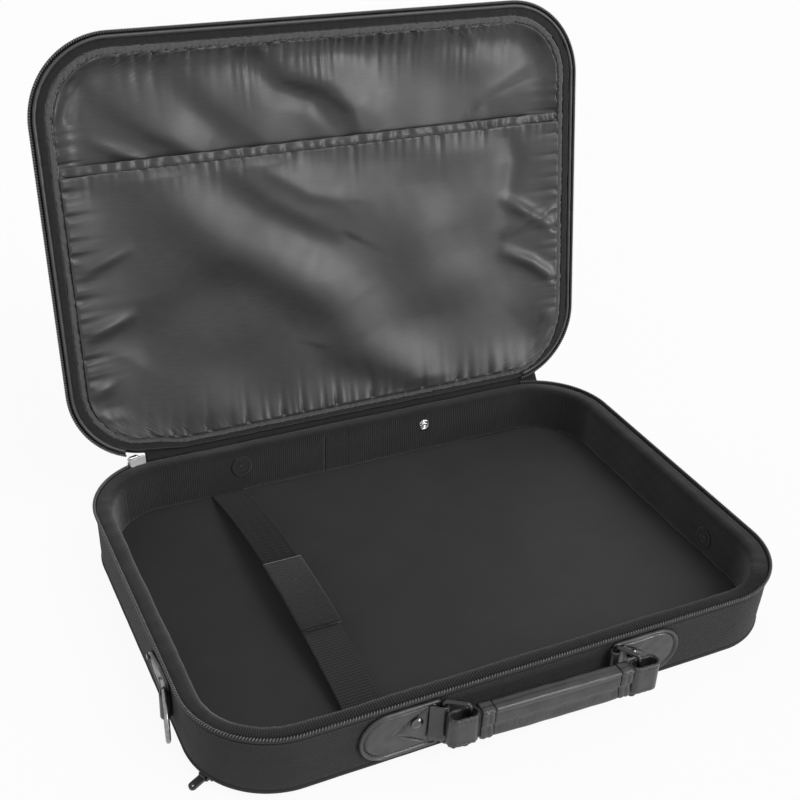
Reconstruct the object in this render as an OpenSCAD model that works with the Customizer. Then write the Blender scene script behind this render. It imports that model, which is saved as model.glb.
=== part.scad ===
// Zipped laptop case: a padded tray and a hinged lid covered in woven fabric.
// Millimetres. The origin is the middle of the flat face the case lies on, +Z is up,
// +X runs along the long side to the right and +Y points from the handle to the hinge.
// The case stands open, with its lid tipped back.

/* [Case] */
// Length of the zip line from side to side
case_w = 422; // [360:2:480]
// Depth of the zip line from the handle side to the hinge side
case_d = 305; // [260:1:340]
// Radius of the zip line at the four corners
corner_r = 58; // [44:1:66]
// Height of the tray from its base seam to the zip line
tray_h = 46; // [42:1:60]
// How far the tray walls lean in at the base
base_inset = 2.5; // [1.5:0.5:5]
// Depth of the lid from the zip line to its face
lid_h = 22; // [19:1:34]
// How far the lid walls lean in at the face
face_inset = 5; // [3.5:0.5:8]
// Angle between the tray and the lid, as the case stands open
lid_angle = 100.15; // [0:0.05:150]

/* [Layers] */
// Thickness of the woven cover
cover_t = 1.2; // [0.8:0.1:2]
// Thickness of the stiff board in the walls, base and lid
board_t = 2; // [1.2:0.1:3]
// Thickness of the foam and ribbed lining on the tray walls
padding_t = 8; // [5:0.5:12]
// Thickness of the floor pad in the tray
floor_t = 5; // [3:0.5:8]
// Clearance between two layers
layer_gap = 0.1; // [0.05:0.05:0.3]
// Radius of the piping along the base and face seams
piping_r = 1.8; // [1.2:0.1:2.5]
// How far the seam piping stands proud of the cover
piping_proud = 0.8; // [0.2:0.1:1.1]
// Height of the padding's rounded top under the zip line
padding_drop = 1; // [0.5:0.5:4]

/* [Main zip] */
// Radius of the coil chain on one half of the zip
chain_r = 1.1; // [0.9:0.05:1.3]
// Gap between the two coil chains when the case is shut
chain_gap = 0.8; // [0.7:0.1:1.4]
// Thickness of the zip tape
tape_t = 0.8; // [0.4:0.1:1]
// Distance from the cover's edge to the zip line
cover_drop = 4; // [3.5:0.5:7]
// Depth of the tape behind the cover's edge
tape_depth = 9; // [6:1:12]
// Inset of the cover's outer face from the zip line, at the zip line
rim_inset = 0.5; // [0.3:0.1:1.2]
// How far round each rear corner the zip runs, from the side of the case
zip_end_turn = 80; // [75:1:89]
// How far before the hinge side the slider is parked, round the rear left corner
slider_turn = 14; // [13:1:20]
// Length of the slider
slider_l = 13; // [10:0.5:14]
// Height of the slider's inner plate
slider_h = 8.5; // [7:0.25:8.75]
// Height of the slider's outer plate
slider_cap_h = 6; // [5.5:0.25:7]
// Length of the slider's pull tab
pull_l = 26; // [18:1:32]

/* [Hinge] */
// Inset of the hinge line from the zip line
hinge_inset = 1.05; // [0.5:0.05:2]
// Height of the hinge line over the lid's zip line, with the lid shut
hinge_rise = 1.9; // [1:0.1:3]
// Thickness of the hinge strip
strip_t = 1; // [0.6:0.1:1.4]
// Gap between each end of the hinge strip and a slider parked there
strip_gap = 1.5; // [1:0.5:20]

/* [Lid lining] */
// Radius of the satin piping inside the lid's rim
rim_piping_r = 2.4; // [1.8:0.1:3]
// Inset of the satin piping's middle from the zip line
rim_piping_inset = 7; // [5.5:0.1:8]
// Inset of the stitched band from the zip line
band_inset = 11; // [10:0.5:13]
// Width of the stitched band
band_w = 5; // [4:0.5:8]
// Thickness of the satin lining and pocket
satin_t = 0.8; // [0.5:0.1:1.2]
// Depth of the open lid pocket between its panel and the lining
pocket_gap = 7; // [5:0.5:9]
// Distance of the lid pocket's mouth from the hinge side zip line
mouth_s = 218.5; // [150:0.5:240]
// Width of the hem along the lid pocket's mouth
hem_w = 7; // [5:0.5:12]

/* [Base pocket] */
// Height of the zipped pocket under the tray
base_pocket_h = 8; // [6:0.5:14]
// Inset of the base pocket from the zip line
base_pocket_inset = 10; // [7:0.5:20]
// Angle of the pocket slider round its corner, from the side of the case
pocket_slider_turn = 22; // [15:1:60]
// Length of the pocket slider's pull tab
pocket_pull_l = 11; // [8:0.5:16]

/* [Handle] */
// Place of the handle's middle along the front wall
handle_x = -6; // [-12:1:12]
// Distance of each ring pivot back from the handle's end
pivot_back = 12.5; // [11:0.5:14]
// Distance of the ring pivots in front of the zip line
pivot_out = 3.5; // [3.3:0.1:5]
// Height of the handle patches
patch_h = 37.5; // [30:0.5:40]
// Length of each handle patch from its ring pivot to its round end
patch_l = 53; // [46:1:60]
// Thickness of the leather patches
patch_t = 2.4; // [1.6:0.1:3]
// Height of the middle of the handle over the base seam
handle_z = 25.8; // [24:0.2:28]
// Wire radius of the handle rings and side rings
wire_r = 1.5; // [1.2:0.1:1.8]
// Distance between the two upright bars of a handle ring
ring_l = 16; // [14:0.5:20]
// Distance between the two level bars of a handle ring
ring_h = 32.5; // [30:0.5:36]
// Angle of the left handle ring to the right of straight out
left_ring_angle = 56; // [50:0.5:57]
// Angle of the right handle ring to the right of straight out
right_ring_angle = 33; // [28:0.5:40]
// Length of the whole handle
handle_l = 147; // [146:1:152]
// Height of the handle's leather strap
handle_h = 21; // [18:0.5:24]
// Thickness of the handle's end loops
loop_t = 10.5; // [9.5:0.25:11]
// Length of the handle's end loops
loop_l = 21; // [20:0.5:24]
// Thickness of the leather of the handle strap
leather_t = 2; // [1.6:0.1:2.2]
// Thickness of the handle's padded grip
grip_t = 10; // [9:0.5:12]
// Length of the collars at both ends of the grip
collar_l = 8.5; // [5:0.5:12]
// Running clearance of a ring's bar in its leather fold
bar_play = 0.06; // [0.02:0.01:0.1]
// Radius of the domed rivets on the patches
rivet_r = 4; // [3:0.1:5]

/* [Side rings] */
// Distance of the side rings' pivots in front of the case's middle
side_pivot_y = 76; // [60:1:88]
// Height of the side rings' middle over the base seam
side_ring_z = 23; // [20:0.5:25]
// Height of a side ring between wire middles
side_ring_h = 25; // [20:0.5:28]
// Reach of a side ring from its pivot to its outer wire's middle
side_ring_l = 25; // [20:0.5:30]
// Angle of the side rings off the wall
side_ring_swing = 12; // [8:1:30]
// Length of the side patches from the ring pivot to the narrow end
side_patch_l = 44; // [36:1:54]

/* [Hold-down strap] */
// Place of the strap's middle along the case
strap_x = -101; // [-140:1:-60]
// Width of the strap
strap_w = 26; // [20:1:38]
// Thickness of the strap's webbing
web_t = 1.4; // [1:0.1:2]
// Height of the strap's bow over its sewn ends
strap_bow = 15; // [10:1:24]
// Distance of the rear strap's free end in front of the case's middle
rear_strap_end = 46; // [20:1:70]
// Length of the fleecy pad on the rear strap's free end
strap_pad_l = 72; // [50:1:90]
// Distance of the front strap's free end behind the case's middle
front_strap_end = 14; // [-6:1:20]

/* [Wall fittings] */
// Place of the nickel stud along the rear wall
stud_x = 67; // [40:1:110]
// Height of the stud over the base seam
stud_z = 33; // [26:1:34]
// Radius of the stud
stud_r = 4.6; // [3:0.1:6]
// Place of the covered rivet along the rear wall
rear_disc_x = -89; // [-60:-1:-120]
// Radius of the covered rivets behind the lining
disc_r = 8; // [6:0.5:10]

/* [Hidden] */

$fn = 64;
// Fine fillets and wires
small_fn = 32;
// A cut runs this far past the face it opens
over = 1;

// Heights: the base pocket lies on the table, the tray's base seam is on top of it
base_z = base_pocket_h;
rim_z = base_z + tray_h;
lid_rim_z = rim_z + 2 * chain_r + chain_gap;
zip_mid_z = (rim_z + lid_rim_z) / 2;
face_z = lid_rim_z + lid_h;

// Outer face of the tray wall and of the lid wall, as an inset from the zip line at height z
function tray_inset(z) = rim_inset + (base_inset - rim_inset) * (rim_z - z) / tray_h;
function lid_inset(z) = rim_inset + (face_inset - rim_inset) * (z - lid_rim_z) / lid_h;

// Rise of the slanted step in the zip tape, from behind the cover's edge to the zip line
tape_rise = 1.3;

// Depths of the wall's layers behind the cover's outer face
tape_in = cover_t + layer_gap;
board_in = tape_in + tape_t + layer_gap;
padding_in = board_in + board_t + layer_gap;
inner_in = padding_in + padding_t;

// Stack of the tray's base
seam_top = base_z + 2 * piping_r;
base_cover_z = base_z;
base_board_z = base_cover_z + cover_t + layer_gap;
floor_z = max(base_board_z + board_t, seam_top) + layer_gap;
floor_top = floor_z + floor_t;
base_piping_inset = base_inset - piping_proud + piping_r;
base_plate_inset = base_piping_inset + piping_r + layer_gap;
floor_inset = tray_inset(floor_z) + padding_in;

// Stack of the lid, from its face down to its lining
face_seam = face_z - 2 * piping_r;
face_piping_inset = face_inset - piping_proud + piping_r;
face_plate_inset = face_piping_inset + piping_r + layer_gap;
lid_board_z = face_z - cover_t - layer_gap - board_t;
pocket_panel_z = lid_rim_z + 2;
lining_z = pocket_panel_z + satin_t + pocket_gap;
foam_z = lining_z + satin_t + layer_gap;
lid_foam_top = min(lid_board_z, face_seam) - layer_gap;
rim_piping_z = lid_rim_z + rim_piping_r - 1.2;
band_t = 2;
lid_padding_z = rim_piping_z + rim_piping_r + layer_gap;
lid_inner_inset = band_inset + band_w + layer_gap;

// Hinge line
hinge_y = case_d / 2 - hinge_inset;
hinge_z = lid_rim_z + hinge_rise;

// Handle
wall_lean = atan((base_inset - rim_inset) / tray_h);
front_y = -case_d / 2;
pivot_y = front_y - pivot_out;
pivot_half = handle_l / 2 - pivot_back;
ring_mid_z = base_z + handle_z;
// Plan place of a handle ring's outer bar; side is 1 on the right and -1 on the left
function outer_bar(side, angle) =
    [handle_x + side * pivot_half + ring_l * sin(angle), pivot_y - ring_l * cos(angle)];
left_bar = outer_bar(-1, left_ring_angle);
right_bar = outer_bar(1, right_ring_angle);
handle_mid = (left_bar + right_bar) / 2;
handle_turn = atan2(right_bar[1] - left_bar[1], right_bar[0] - left_bar[0]);
fold_wall = 2;
// How far a fold runs into the patch it is part of
fold_bite = 1.9;
fold_r = wire_r + bar_play + fold_wall;
ring_bend = 2.5;
fold_h = ring_h - 2 * ring_bend - 1;
patch_top = rim_z - cover_drop;

// Side rings
side_z = base_z + side_ring_z;
side_fold_wall = 1.6;
side_fold_r = wire_r + bar_play + side_fold_wall;
side_pivot_x = case_w / 2 + side_fold_r - rim_inset;
side_fold_h = side_ring_h - 2 * ring_bend - 1;
side_patch_top = rim_z - cover_drop - 1;

// Hold-down strap: an arc over the floor, from a rolled root sewn in where the padding
// meets the floor
strap_root_r = 1.2;
// How much the roll stops short of each edge of the webbing
root_short = 0.5;
strap_root_y = case_d / 2 - tray_inset(floor_top) - inner_in - strap_root_r - layer_gap;
strap_root_z = floor_top + strap_root_r + layer_gap;
// How much higher than the front strap the rear one bows, to lie over it
strap_over = 2;
web_gap = 0.15;

// Parked sliders
pocket_corner_r = corner_r - base_pocket_inset;
pocket_zip_z = base_pocket_h / 2;
pocket_chain_r = 0.9;
pocket_zip_out = pocket_chain_r + 0.5;
// Turn between the middle of a parked slider and a chain's end
slider_clear = 10;
slider_plate_t = 1;

// ---- Shared shapes ----

// A rounded rectangle, w by d
module pad_outline(w, d, r) {
    square([w - 2 * r, d], center = true);
    square([w, d - 2 * r], center = true);
    for (x = [-1, 1], y = [-1, 1]) translate([x * (w / 2 - r), y * (d / 2 - r)]) circle(r);
}

// A flat plate with the case's outline, drawn in by an inset
module plate(inset, z0, z1) {
    translate([0, 0, z0]) linear_extrude(z1 - z0)
        pad_outline(case_w - 2 * inset, case_d - 2 * inset, corner_r - inset);
}

// Sweeps a section round the zip line: x is outwards from the line, y is up
module around(w = case_w, d = case_d, r = corner_r) {
    for (side = [0, 180]) rotate([0, 0, side]) {
        translate([w / 2, 0, 0]) rotate([90, 0, 0])
            linear_extrude(d - 2 * r, center = true) children();
        rotate([0, 0, 90]) translate([d / 2, 0, 0]) rotate([90, 0, 0])
            linear_extrude(w - 2 * r, center = true) children();
    }
    for (x = [0, 1], y = [0, 1]) mirror([x, 0, 0]) mirror([0, y, 0])
        translate([w / 2 - r, d / 2 - r, 0]) rotate_extrude(angle = 90) translate([r, 0]) children();
}

// Section of one layer of a tray wall, from z0 up to z1
module tray_layer(depth, t, z0, z1) {
    polygon([[-tray_inset(z0) - depth - t, z0], [-tray_inset(z0) - depth, z0],
             [-tray_inset(z1) - depth, z1], [-tray_inset(z1) - depth - t, z1]]);
}

// Section of one layer of a lid wall, from z0 up to z1
module lid_layer(depth, t, z0, z1) {
    polygon([[-lid_inset(z0) - depth - t, z0], [-lid_inset(z0) - depth, z0],
             [-lid_inset(z1) - depth, z1], [-lid_inset(z1) - depth - t, z1]]);
}

// Section of the zip tape: along the back of the cover, then a step out to the zip line.
// way is -1 below the zip line and 1 above it; edge_inset and tail_inset are the cover's
// insets at its edge and at the tape's tail.
module tape_section(z, way, edge_inset, tail_inset) {
    edge = z + way * cover_drop;
    bend = edge - way * tape_rise;
    tail = edge + way * tape_depth;
    end = z + way * (chain_r + layer_gap);
    back = -edge_inset - tape_in;
    tail_back = -tail_inset - tape_in;
    half = tape_t / 2;
    polygon([[tail_back - tape_t, tail], [tail_back, tail], [back, edge], [half, bend], [half, end],
             [-half, end], [-half, bend - way * half], [back - tape_t, edge - way * half]]);
}

// Sweeps a section along the zip: the front, both sides and the corners, stopping part of
// the way round each rear corner
module along_zip(left_turn = zip_end_turn, right_turn = zip_end_turn) {
    side = case_d - 2 * corner_r;
    corner = [case_w / 2 - corner_r, side / 2];
    for (x = [0, 1]) mirror([x, 0, 0]) {
        translate([case_w / 2, 0, 0]) rotate([90, 0, 0]) linear_extrude(side, center = true) children();
        translate([corner[0], -corner[1], 0]) rotate([0, 0, -90])
            rotate_extrude(angle = 90) translate([corner_r, 0]) children();
        translate([corner[0], corner[1], 0])
            rotate_extrude(angle = x == 1 ? left_turn : right_turn) translate([corner_r, 0]) children();
    }
    rotate([0, 0, -90]) translate([case_d / 2, 0, 0]) rotate([90, 0, 0])
        linear_extrude(2 * corner[0], center = true) children();
}

// Turns what is drawn in the shut position into the lid's open position
module open_lid() {
    translate([0, hinge_y, hinge_z]) rotate([-lid_angle, 0, 0]) translate([0, -hinge_y, -hinge_z])
        children();
}

// A straight round bar between two heights
module upright_bar(z0, z1, r) {
    translate([0, 0, z0]) cylinder(h = z1 - z0, r = r, $fn = small_fn);
}

// A quarter bend of wire in the XZ plane, from straight up to straight along +X
module wire_bend() {
    translate([ring_bend, 0, 0]) rotate([90, 0, 0]) rotate([0, 0, 90])
        rotate_extrude(angle = 90, $fn = small_fn) translate([ring_bend, 0]) circle(wire_r, $fn = small_fn);
}

// Half of a ring's frame: an upright bar with its two bends and half of each level bar
module ring_half(l, h) {
    upright_bar(-h / 2 + ring_bend, h / 2 - ring_bend, wire_r);
    for (end = [0, 1]) mirror([0, 0, end]) {
        translate([0, 0, h / 2 - ring_bend]) wire_bend();
        translate([ring_bend, 0, h / 2]) rotate([0, 90, 0])
            cylinder(h = l / 2 - ring_bend, r = wire_r, $fn = small_fn);
    }
}

// A handle ring with its pivot bar on the Z axis and its other bar out along +X
module handle_ring() {
    ring_half(ring_l, ring_h);
    translate([ring_l, 0, 0]) mirror([1, 0, 0]) ring_half(ring_l, ring_h);
}

// ---- Tray ----

module tray_wall_cover() {
    color("#2b2b2d") around() tray_layer(0, cover_t, seam_top + layer_gap, rim_z - cover_drop);
}

module tray_wall_board() {
    color("#6b5a45") around() tray_layer(board_in, board_t, floor_z, rim_z - padding_drop - padding_t / 2);
}

module tray_wall_padding() {
    top = rim_z - padding_drop - padding_t / 2;
    color("#1d1d1f") around() {
        tray_layer(padding_in, padding_t, floor_top + layer_gap, top);
        translate([-tray_inset(top) - padding_in - padding_t / 2, top]) circle(padding_t / 2 - layer_gap);
    }
}

module tray_base_piping() {
    color("#202022") around()
        translate([-base_piping_inset, base_z + piping_r]) circle(piping_r, $fn = small_fn);
}

module tray_base_cover() {
    color("#2b2b2d") plate(base_plate_inset, base_cover_z, base_cover_z + cover_t);
}

module tray_base_board() {
    color("#6b5a45") plate(base_plate_inset, base_board_z, base_board_z + board_t);
}

module tray_floor_pad() {
    color("#222224") plate(floor_inset, floor_z, floor_top);
}

module tray_zip_tape() {
    edge = rim_z - cover_drop;
    color("#151516") along_zip() tape_section(rim_z, -1, tray_inset(edge), tray_inset(edge - tape_depth));
}

module tray_zip_chain() {
    color("#0f0f10") along_zip() translate([0, rim_z]) circle(chain_r, $fn = small_fn);
}

// ---- Hinge strip ----

// A point of the lid's section turned to where it is with the lid open
function opened(y, z) = [
    hinge_y + (y - hinge_y) * cos(lid_angle) + (z - hinge_z) * sin(lid_angle),
    hinge_z - (y - hinge_y) * sin(lid_angle) + (z - hinge_z) * cos(lid_angle)
];

// How far the strip runs over each cover
strip_lap = 8;
strip_half = case_w / 2 - corner_r + corner_r * sin(slider_turn) - slider_l / 2 - strip_gap;

module hinge_strip() {
    tray_edge = rim_z - cover_drop;
    lid_edge = lid_rim_z + cover_drop;
    tray_y = case_d / 2 - tray_inset(tray_edge) + layer_gap;
    lid_y = case_d / 2 - lid_inset(lid_edge) + layer_gap;
    low = [tray_y, tray_edge - strip_lap];
    knee = [tray_y, zip_mid_z - 2];
    lid_near = opened(lid_y, lid_edge);
    lid_far = opened(case_d / 2 - lid_inset(lid_edge + strip_lap) + layer_gap, lid_edge + strip_lap);
    color("#262628") rotate([90, 0, 90]) linear_extrude(2 * strip_half, center = true)
        polygon([low, knee, lid_near, lid_far, lid_far - [0, strip_t], lid_near + [0.4, -strip_t],
                 knee + [strip_t, -0.6], low + [strip_t, 0]]);
}

// ---- Fittings on the tray's inner walls ----

// Stands a fitting on the rear wall's lining, with +X of the child pointing into the tray
module on_rear_lining(x, z) {
    translate([x, case_d / 2 - tray_inset(z) - inner_in - layer_gap, z]) rotate([0, 0, -90])
        rotate([0, -wall_lean, 0]) children();
}

stud_rim = 1.2;
stud_t = 1.8;
disc_t = 0.9;
rear_disc_z = base_z + stud_z - 2;
side_disc_y = -side_pivot_y + 12;

module rear_wall_stud() {
    color("#c9c9cb") on_rear_lining(stud_x, base_z + stud_z) rotate([0, 90, 0]) {
        difference() {
            cylinder(h = stud_rim, r = stud_r);
            translate([0, 0, stud_rim / 2]) cylinder(h = stud_rim, r = stud_r - stud_rim);
        }
        cylinder(h = stud_t, r = stud_r / 2);
    }
}

module rear_wall_disc() {
    color("#1d1d1f") on_rear_lining(rear_disc_x, rear_disc_z) rotate([0, 90, 0])
        cylinder(h = disc_t, r = disc_r);
}

module side_wall_discs() {
    x = case_w / 2 - tray_inset(side_z) - inner_in - layer_gap;
    color("#1d1d1f") for (side = [0, 1]) mirror([side, 0, 0])
        translate([x, side_disc_y, side_z]) rotate([0, wall_lean - 90, 0])
            cylinder(h = disc_t, r = disc_r);
}

// ---- Pocket under the base ----

module base_pocket() {
    color("#2b2b2d") plate(base_pocket_inset, 0, base_pocket_h - layer_gap);
}

// Carries a child to the pocket's zip at an angle round its front left corner.
// +X of the child is outwards and +Z is up.
module on_pocket_zip(turn) {
    translate([-case_w / 2 + corner_r, front_y + corner_r, 0]) rotate([0, 0, 180 + turn])
        translate([pocket_corner_r + pocket_zip_out, 0, pocket_zip_z]) children();
}

module base_pocket_zip() {
    inset = base_pocket_inset - pocket_zip_out;
    side_end = front_y + corner_r - (corner_r - inset) * sin(pocket_slider_turn - slider_clear);
    color("#0f0f10") difference() {
        around(case_w - 2 * inset, case_d - 2 * inset, corner_r - inset)
            translate([0, pocket_zip_z]) circle(pocket_chain_r, $fn = small_fn);
        translate([-case_w, side_end, -over]) cube([2 * case_w, case_d + over, base_pocket_h + 2 * over]);
    }
}

// Pins and ears that carry a slider's pull
pin_r = 0.8;
eye_r = 2;
ear_t = 1;
ear_h = 2.4;
ear_play = 0.2;

// A round bar along Y, about the origin
module cross_pin(l, r) {
    rotate([90, 0, 0]) cylinder(h = l, r = r, center = true, $fn = small_fn);
}

// Two ears from a slider's plate at x0 out past its pin at pin_x, and the pin between them
module pull_ears(x0, pin_x, pull_w) {
    for (side = [0, 1]) mirror([0, side, 0])
        translate([x0, pull_w / 2 + ear_play, -ear_h / 2]) cube([pin_x - x0 + pin_r, ear_t, ear_h]);
    translate([pin_x, 0, 0]) cross_pin(pull_w + 2 * ear_play + 2 * ear_t, pin_r);
}

// A pull tab with its eye on the Y axis, hanging down along -Z
module pull_tab(l, w, t) {
    tip_z = -l + w / 2;
    difference() {
        union() {
            cross_pin(w, eye_r);
            translate([-t / 2, -w / 2, tip_z]) cube([t, w, -tip_z]);
            translate([0, 0, tip_z]) rotate([0, 90, 0]) cylinder(h = t, r = w / 2, center = true);
        }
        cross_pin(w + 2 * over, pin_r + bar_play);
        translate([0, 0, tip_z]) rotate([0, 90, 0])
            cylinder(h = t + over, r = w / 5, center = true, $fn = small_fn);
    }
}

pocket_slider_l = 9;
pocket_slider_h = base_pocket_h - 2;
pocket_pull_w = 5;
pocket_pull_t = 2;
pocket_plate_x = pocket_chain_r + 0.2;
pocket_pin_x = pocket_plate_x + slider_plate_t + eye_r + 0.4;

module base_pocket_slider() {
    color("#141415") on_pocket_zip(pocket_slider_turn) {
        translate([pocket_plate_x, -pocket_slider_l / 2, -pocket_slider_h / 2])
            cube([slider_plate_t, pocket_slider_l, pocket_slider_h]);
        pull_ears(pocket_plate_x + slider_plate_t, pocket_pin_x, pocket_pull_w);
    }
}

// The pull stands straight out, a little raised at its tip
pocket_pull_tilt = 80;

module base_pocket_pull() {
    color("#141415") on_pocket_zip(pocket_slider_turn) translate([pocket_pin_x, 0, 0])
        rotate([0, -pocket_pull_tilt, 0]) pull_tab(pocket_pull_l, pocket_pull_w, pocket_pull_t);
}

// ---- Main zip slider, parked round the rear left corner ----

// Carries a child to the zip at an angle round the rear left corner.
// +X of the child is outwards, +Z is up.
module on_main_zip(turn) {
    translate([-case_w / 2 + corner_r, case_d / 2 - corner_r, 0]) rotate([0, 0, 90 + turn])
        translate([corner_r, 0, zip_mid_z]) children();
}

slider_channel = chain_r + 0.2;
// The inner plate stands further off, because the chain bends away from its middle round the corner
slider_back = slider_channel + slider_l * slider_l / (8 * (corner_r - chain_r));
slider_pin_x = slider_channel + slider_plate_t + eye_r + 0.4;
divider_l = 3;
// How far the slider's plates reach under the middle of the zip
slider_foot = 4.05;
divider_h = chain_gap - 0.3;
pull_w = 6;
pull_t = 1.6;

// Two plates on both sides of the chain, joined by the divider between its halves
module zip_slider() {
    color("#cfcfd1") on_main_zip(slider_turn) {
        translate([slider_channel, -slider_l / 2, -slider_foot])
            cube([slider_plate_t, slider_l, slider_cap_h]);
        translate([-slider_back - slider_plate_t, -slider_l / 2, -slider_foot])
            cube([slider_plate_t, slider_l, slider_h]);
        translate([-slider_back, -slider_l / 2, -divider_h / 2])
            cube([slider_back + slider_channel, divider_l, divider_h]);
        pull_ears(slider_channel + slider_plate_t, slider_pin_x, pull_w);
    }
}

module zip_pull() {
    color("#cfcfd1") on_main_zip(slider_turn) translate([slider_pin_x, 0, 0])
        pull_tab(pull_l, pull_w, pull_t);
}

// ---- Handle ----

// Outline of a handle patch: +X runs from the ring pivot to the round end
module handle_patch_outline() {
    r = patch_h / 2;
    translate([patch_l - r, 0]) circle(r);
    translate([0, -r]) square([patch_l - r, patch_h]);
}

// A patch on the front wall, with its fold round the ring's pivot bar.
// The round end points to +X; the left patch is this one mirrored.
module handle_patch() {
    patch_z = patch_top - patch_h / 2;
    face_y = front_y + tray_inset(patch_top) - layer_gap;
    difference() {
        union() {
            translate([0, face_y, patch_top]) rotate([wall_lean, 0, 0]) translate([0, 0, -patch_h / 2])
                rotate([90, 0, 0]) linear_extrude(patch_t) handle_patch_outline();
            translate([0, pivot_y, ring_mid_z]) upright_bar(-fold_h / 2, fold_h / 2, fold_r);
            translate([-1, pivot_y, ring_mid_z - fold_h / 2])
                cube([fold_r + 1, face_y - patch_t + fold_bite - pivot_y, fold_h]);
        }
        translate([0, pivot_y, ring_mid_z]) upright_bar(-fold_h, fold_h, wire_r + bar_play);
    }
}

// Place of a domed rivet from its ring pivot, and its height
rivet_out = 16;
rivet_rise = 2.5;
rivet_h = 1.8;
rivet_gap = 0.3;

// Domed rivet through the middle of the stitched triangle
module handle_rivet() {
    z = ring_mid_z + rivet_rise;
    y = front_y + tray_inset(z) - layer_gap - patch_t - rivet_gap;
    dome_r = 1.6 * rivet_r;
    translate([rivet_out, y, z]) rotate([90, 0, 0]) intersection() {
        cylinder(h = rivet_h, r = rivet_r);
        translate([0, 0, rivet_h - dome_r]) sphere(dome_r);
    }
}

// side is 1 on the right and -1 on the left
module at_handle_side(side) {
    translate([handle_x + side * pivot_half, 0, 0]) mirror([side < 0 ? 1 : 0, 0, 0]) children();
}

module handle_patch_left() {
    color("#2c2c2e") at_handle_side(-1) handle_patch();
}

module handle_patch_right() {
    color("#2c2c2e") at_handle_side(1) handle_patch();
}

module handle_rivet_left() {
    color("#3a3a3c") at_handle_side(-1) handle_rivet();
}

module handle_rivet_right() {
    color("#3a3a3c") at_handle_side(1) handle_rivet();
}

module leaning_ring(side, angle) {
    translate([handle_x + side * pivot_half, pivot_y, ring_mid_z]) rotate([0, 0, angle - 90])
        handle_ring();
}

module handle_ring_left() {
    color("#101011") leaning_ring(-1, left_ring_angle);
}

module handle_ring_right() {
    color("#101011") leaning_ring(1, right_ring_angle);
}

// Carries a child to the middle of the handle
module at_handle() {
    translate([handle_mid[0], handle_mid[1], ring_mid_z]) rotate([0, 0, handle_turn]) children();
}

// Plan of one end loop, with its outer end at +X
module loop_plan(grow) {
    r = loop_t / 2 + grow;
    for (x = [handle_l / 2 - loop_l + loop_t / 2, handle_l / 2 - loop_t / 2]) translate([x, 0]) circle(r);
    translate([handle_l / 2 - loop_l + loop_t / 2, -r]) square([loop_l - loop_t, 2 * r]);
}

module handle_strap() {
    core = 2 * leather_t;
    color("#2a2a2c") at_handle() translate([0, 0, -handle_h / 2]) linear_extrude(handle_h) {
        for (end = [0, 1]) mirror([end, 0, 0]) difference() {
            loop_plan(0);
            loop_plan(-leather_t);
        }
        square([handle_l - 2 * loop_l + leather_t, core], center = true);
    }
}

// Section of the grip across the handle: a pillow with round edges
module grip_section(t, h, r) {
    square([t - 2 * r, h], center = true);
    square([t, h - 2 * r], center = true);
    for (y = [-1, 1], z = [-1, 1]) translate([y * (t / 2 - r), z * (h / 2 - r)]) circle(r, $fn = small_fn);
}

grip_l = handle_l - 2 * loop_l - 2 * collar_l - 4 * layer_gap;

// A sleeve along the handle, hollow where the strap passes
module sleeve(l, t, h, r) {
    rotate([90, 0, 90]) linear_extrude(l, center = true) difference() {
        grip_section(t, h, r);
        square([2 * leather_t + 2 * layer_gap, handle_h + 2 * layer_gap], center = true);
    }
}

grip_wrap = 1.6;

module handle_grip() {
    color("#28282a") at_handle() sleeve(grip_l, grip_t, handle_h + 2 * grip_wrap, 5);
}

module handle_collar(side) {
    at_handle() translate([side * (grip_l / 2 + layer_gap + collar_l / 2), 0, 0])
        sleeve(collar_l, grip_t - 1, handle_h + 2 * grip_wrap, 4);
}

module handle_collar_left() {
    color("#28282a") handle_collar(-1);
}

module handle_collar_right() {
    color("#28282a") handle_collar(1);
}

// ---- Side rings for a shoulder strap ----

// Carries a child to the right or left ring pivot; +X of the child is away from the wall
module at_side(side) {
    mirror([side < 0 ? 1 : 0, 0, 0]) translate([side_pivot_x, -side_pivot_y, side_z]) children();
}

// The narrow end of a side patch: its radius and how high it sits over the ring's middle
narrow_r = 5.5;
narrow_rise = 6;
narrow_y = side_patch_l - narrow_r;
side_rivet_r = 1.8;
side_rivet_h = 1;

// Outline of a side patch: a drop with its narrow end towards the hinge
module side_patch_outline() {
    h = side_patch_top - side_z;
    polygon([[0, -0.75 * h], [0, h], [0.3 * side_patch_l, h], [narrow_y, narrow_rise + narrow_r],
             [narrow_y, narrow_rise - narrow_r]]);
    translate([narrow_y, narrow_rise]) circle(narrow_r);
}

module side_patch() {
    wall_x = case_w / 2 - side_pivot_x - tray_inset(side_patch_top) + layer_gap;
    difference() {
        union() {
            translate([wall_x, 0, side_patch_top - side_z]) rotate([0, wall_lean, 0])
                translate([0, 0, side_z - side_patch_top])
                rotate([90, 0, 90]) linear_extrude(patch_t) side_patch_outline();
            upright_bar(-side_fold_h / 2, side_fold_h / 2, side_fold_r);
            translate([wall_x + 1, -1, -side_fold_h / 2]) cube([-wall_x - 1, side_fold_r + 1, side_fold_h]);
        }
        upright_bar(-side_fold_h, side_fold_h, wire_r + bar_play);
    }
}

module side_patch_left() {
    color("#2f2f31") at_side(-1) side_patch();
}

module side_patch_right() {
    color("#2f2f31") at_side(1) side_patch();
}

module side_rivets() {
    x = case_w / 2 - side_pivot_x - tray_inset(side_z + narrow_rise) + patch_t + layer_gap + rivet_gap;
    color("#3a3a3c") for (side = [-1, 1]) at_side(side)
        translate([x, narrow_y, narrow_rise]) rotate([0, 90, 0])
            cylinder(h = side_rivet_h, r = side_rivet_r, $fn = small_fn);
}

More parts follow.
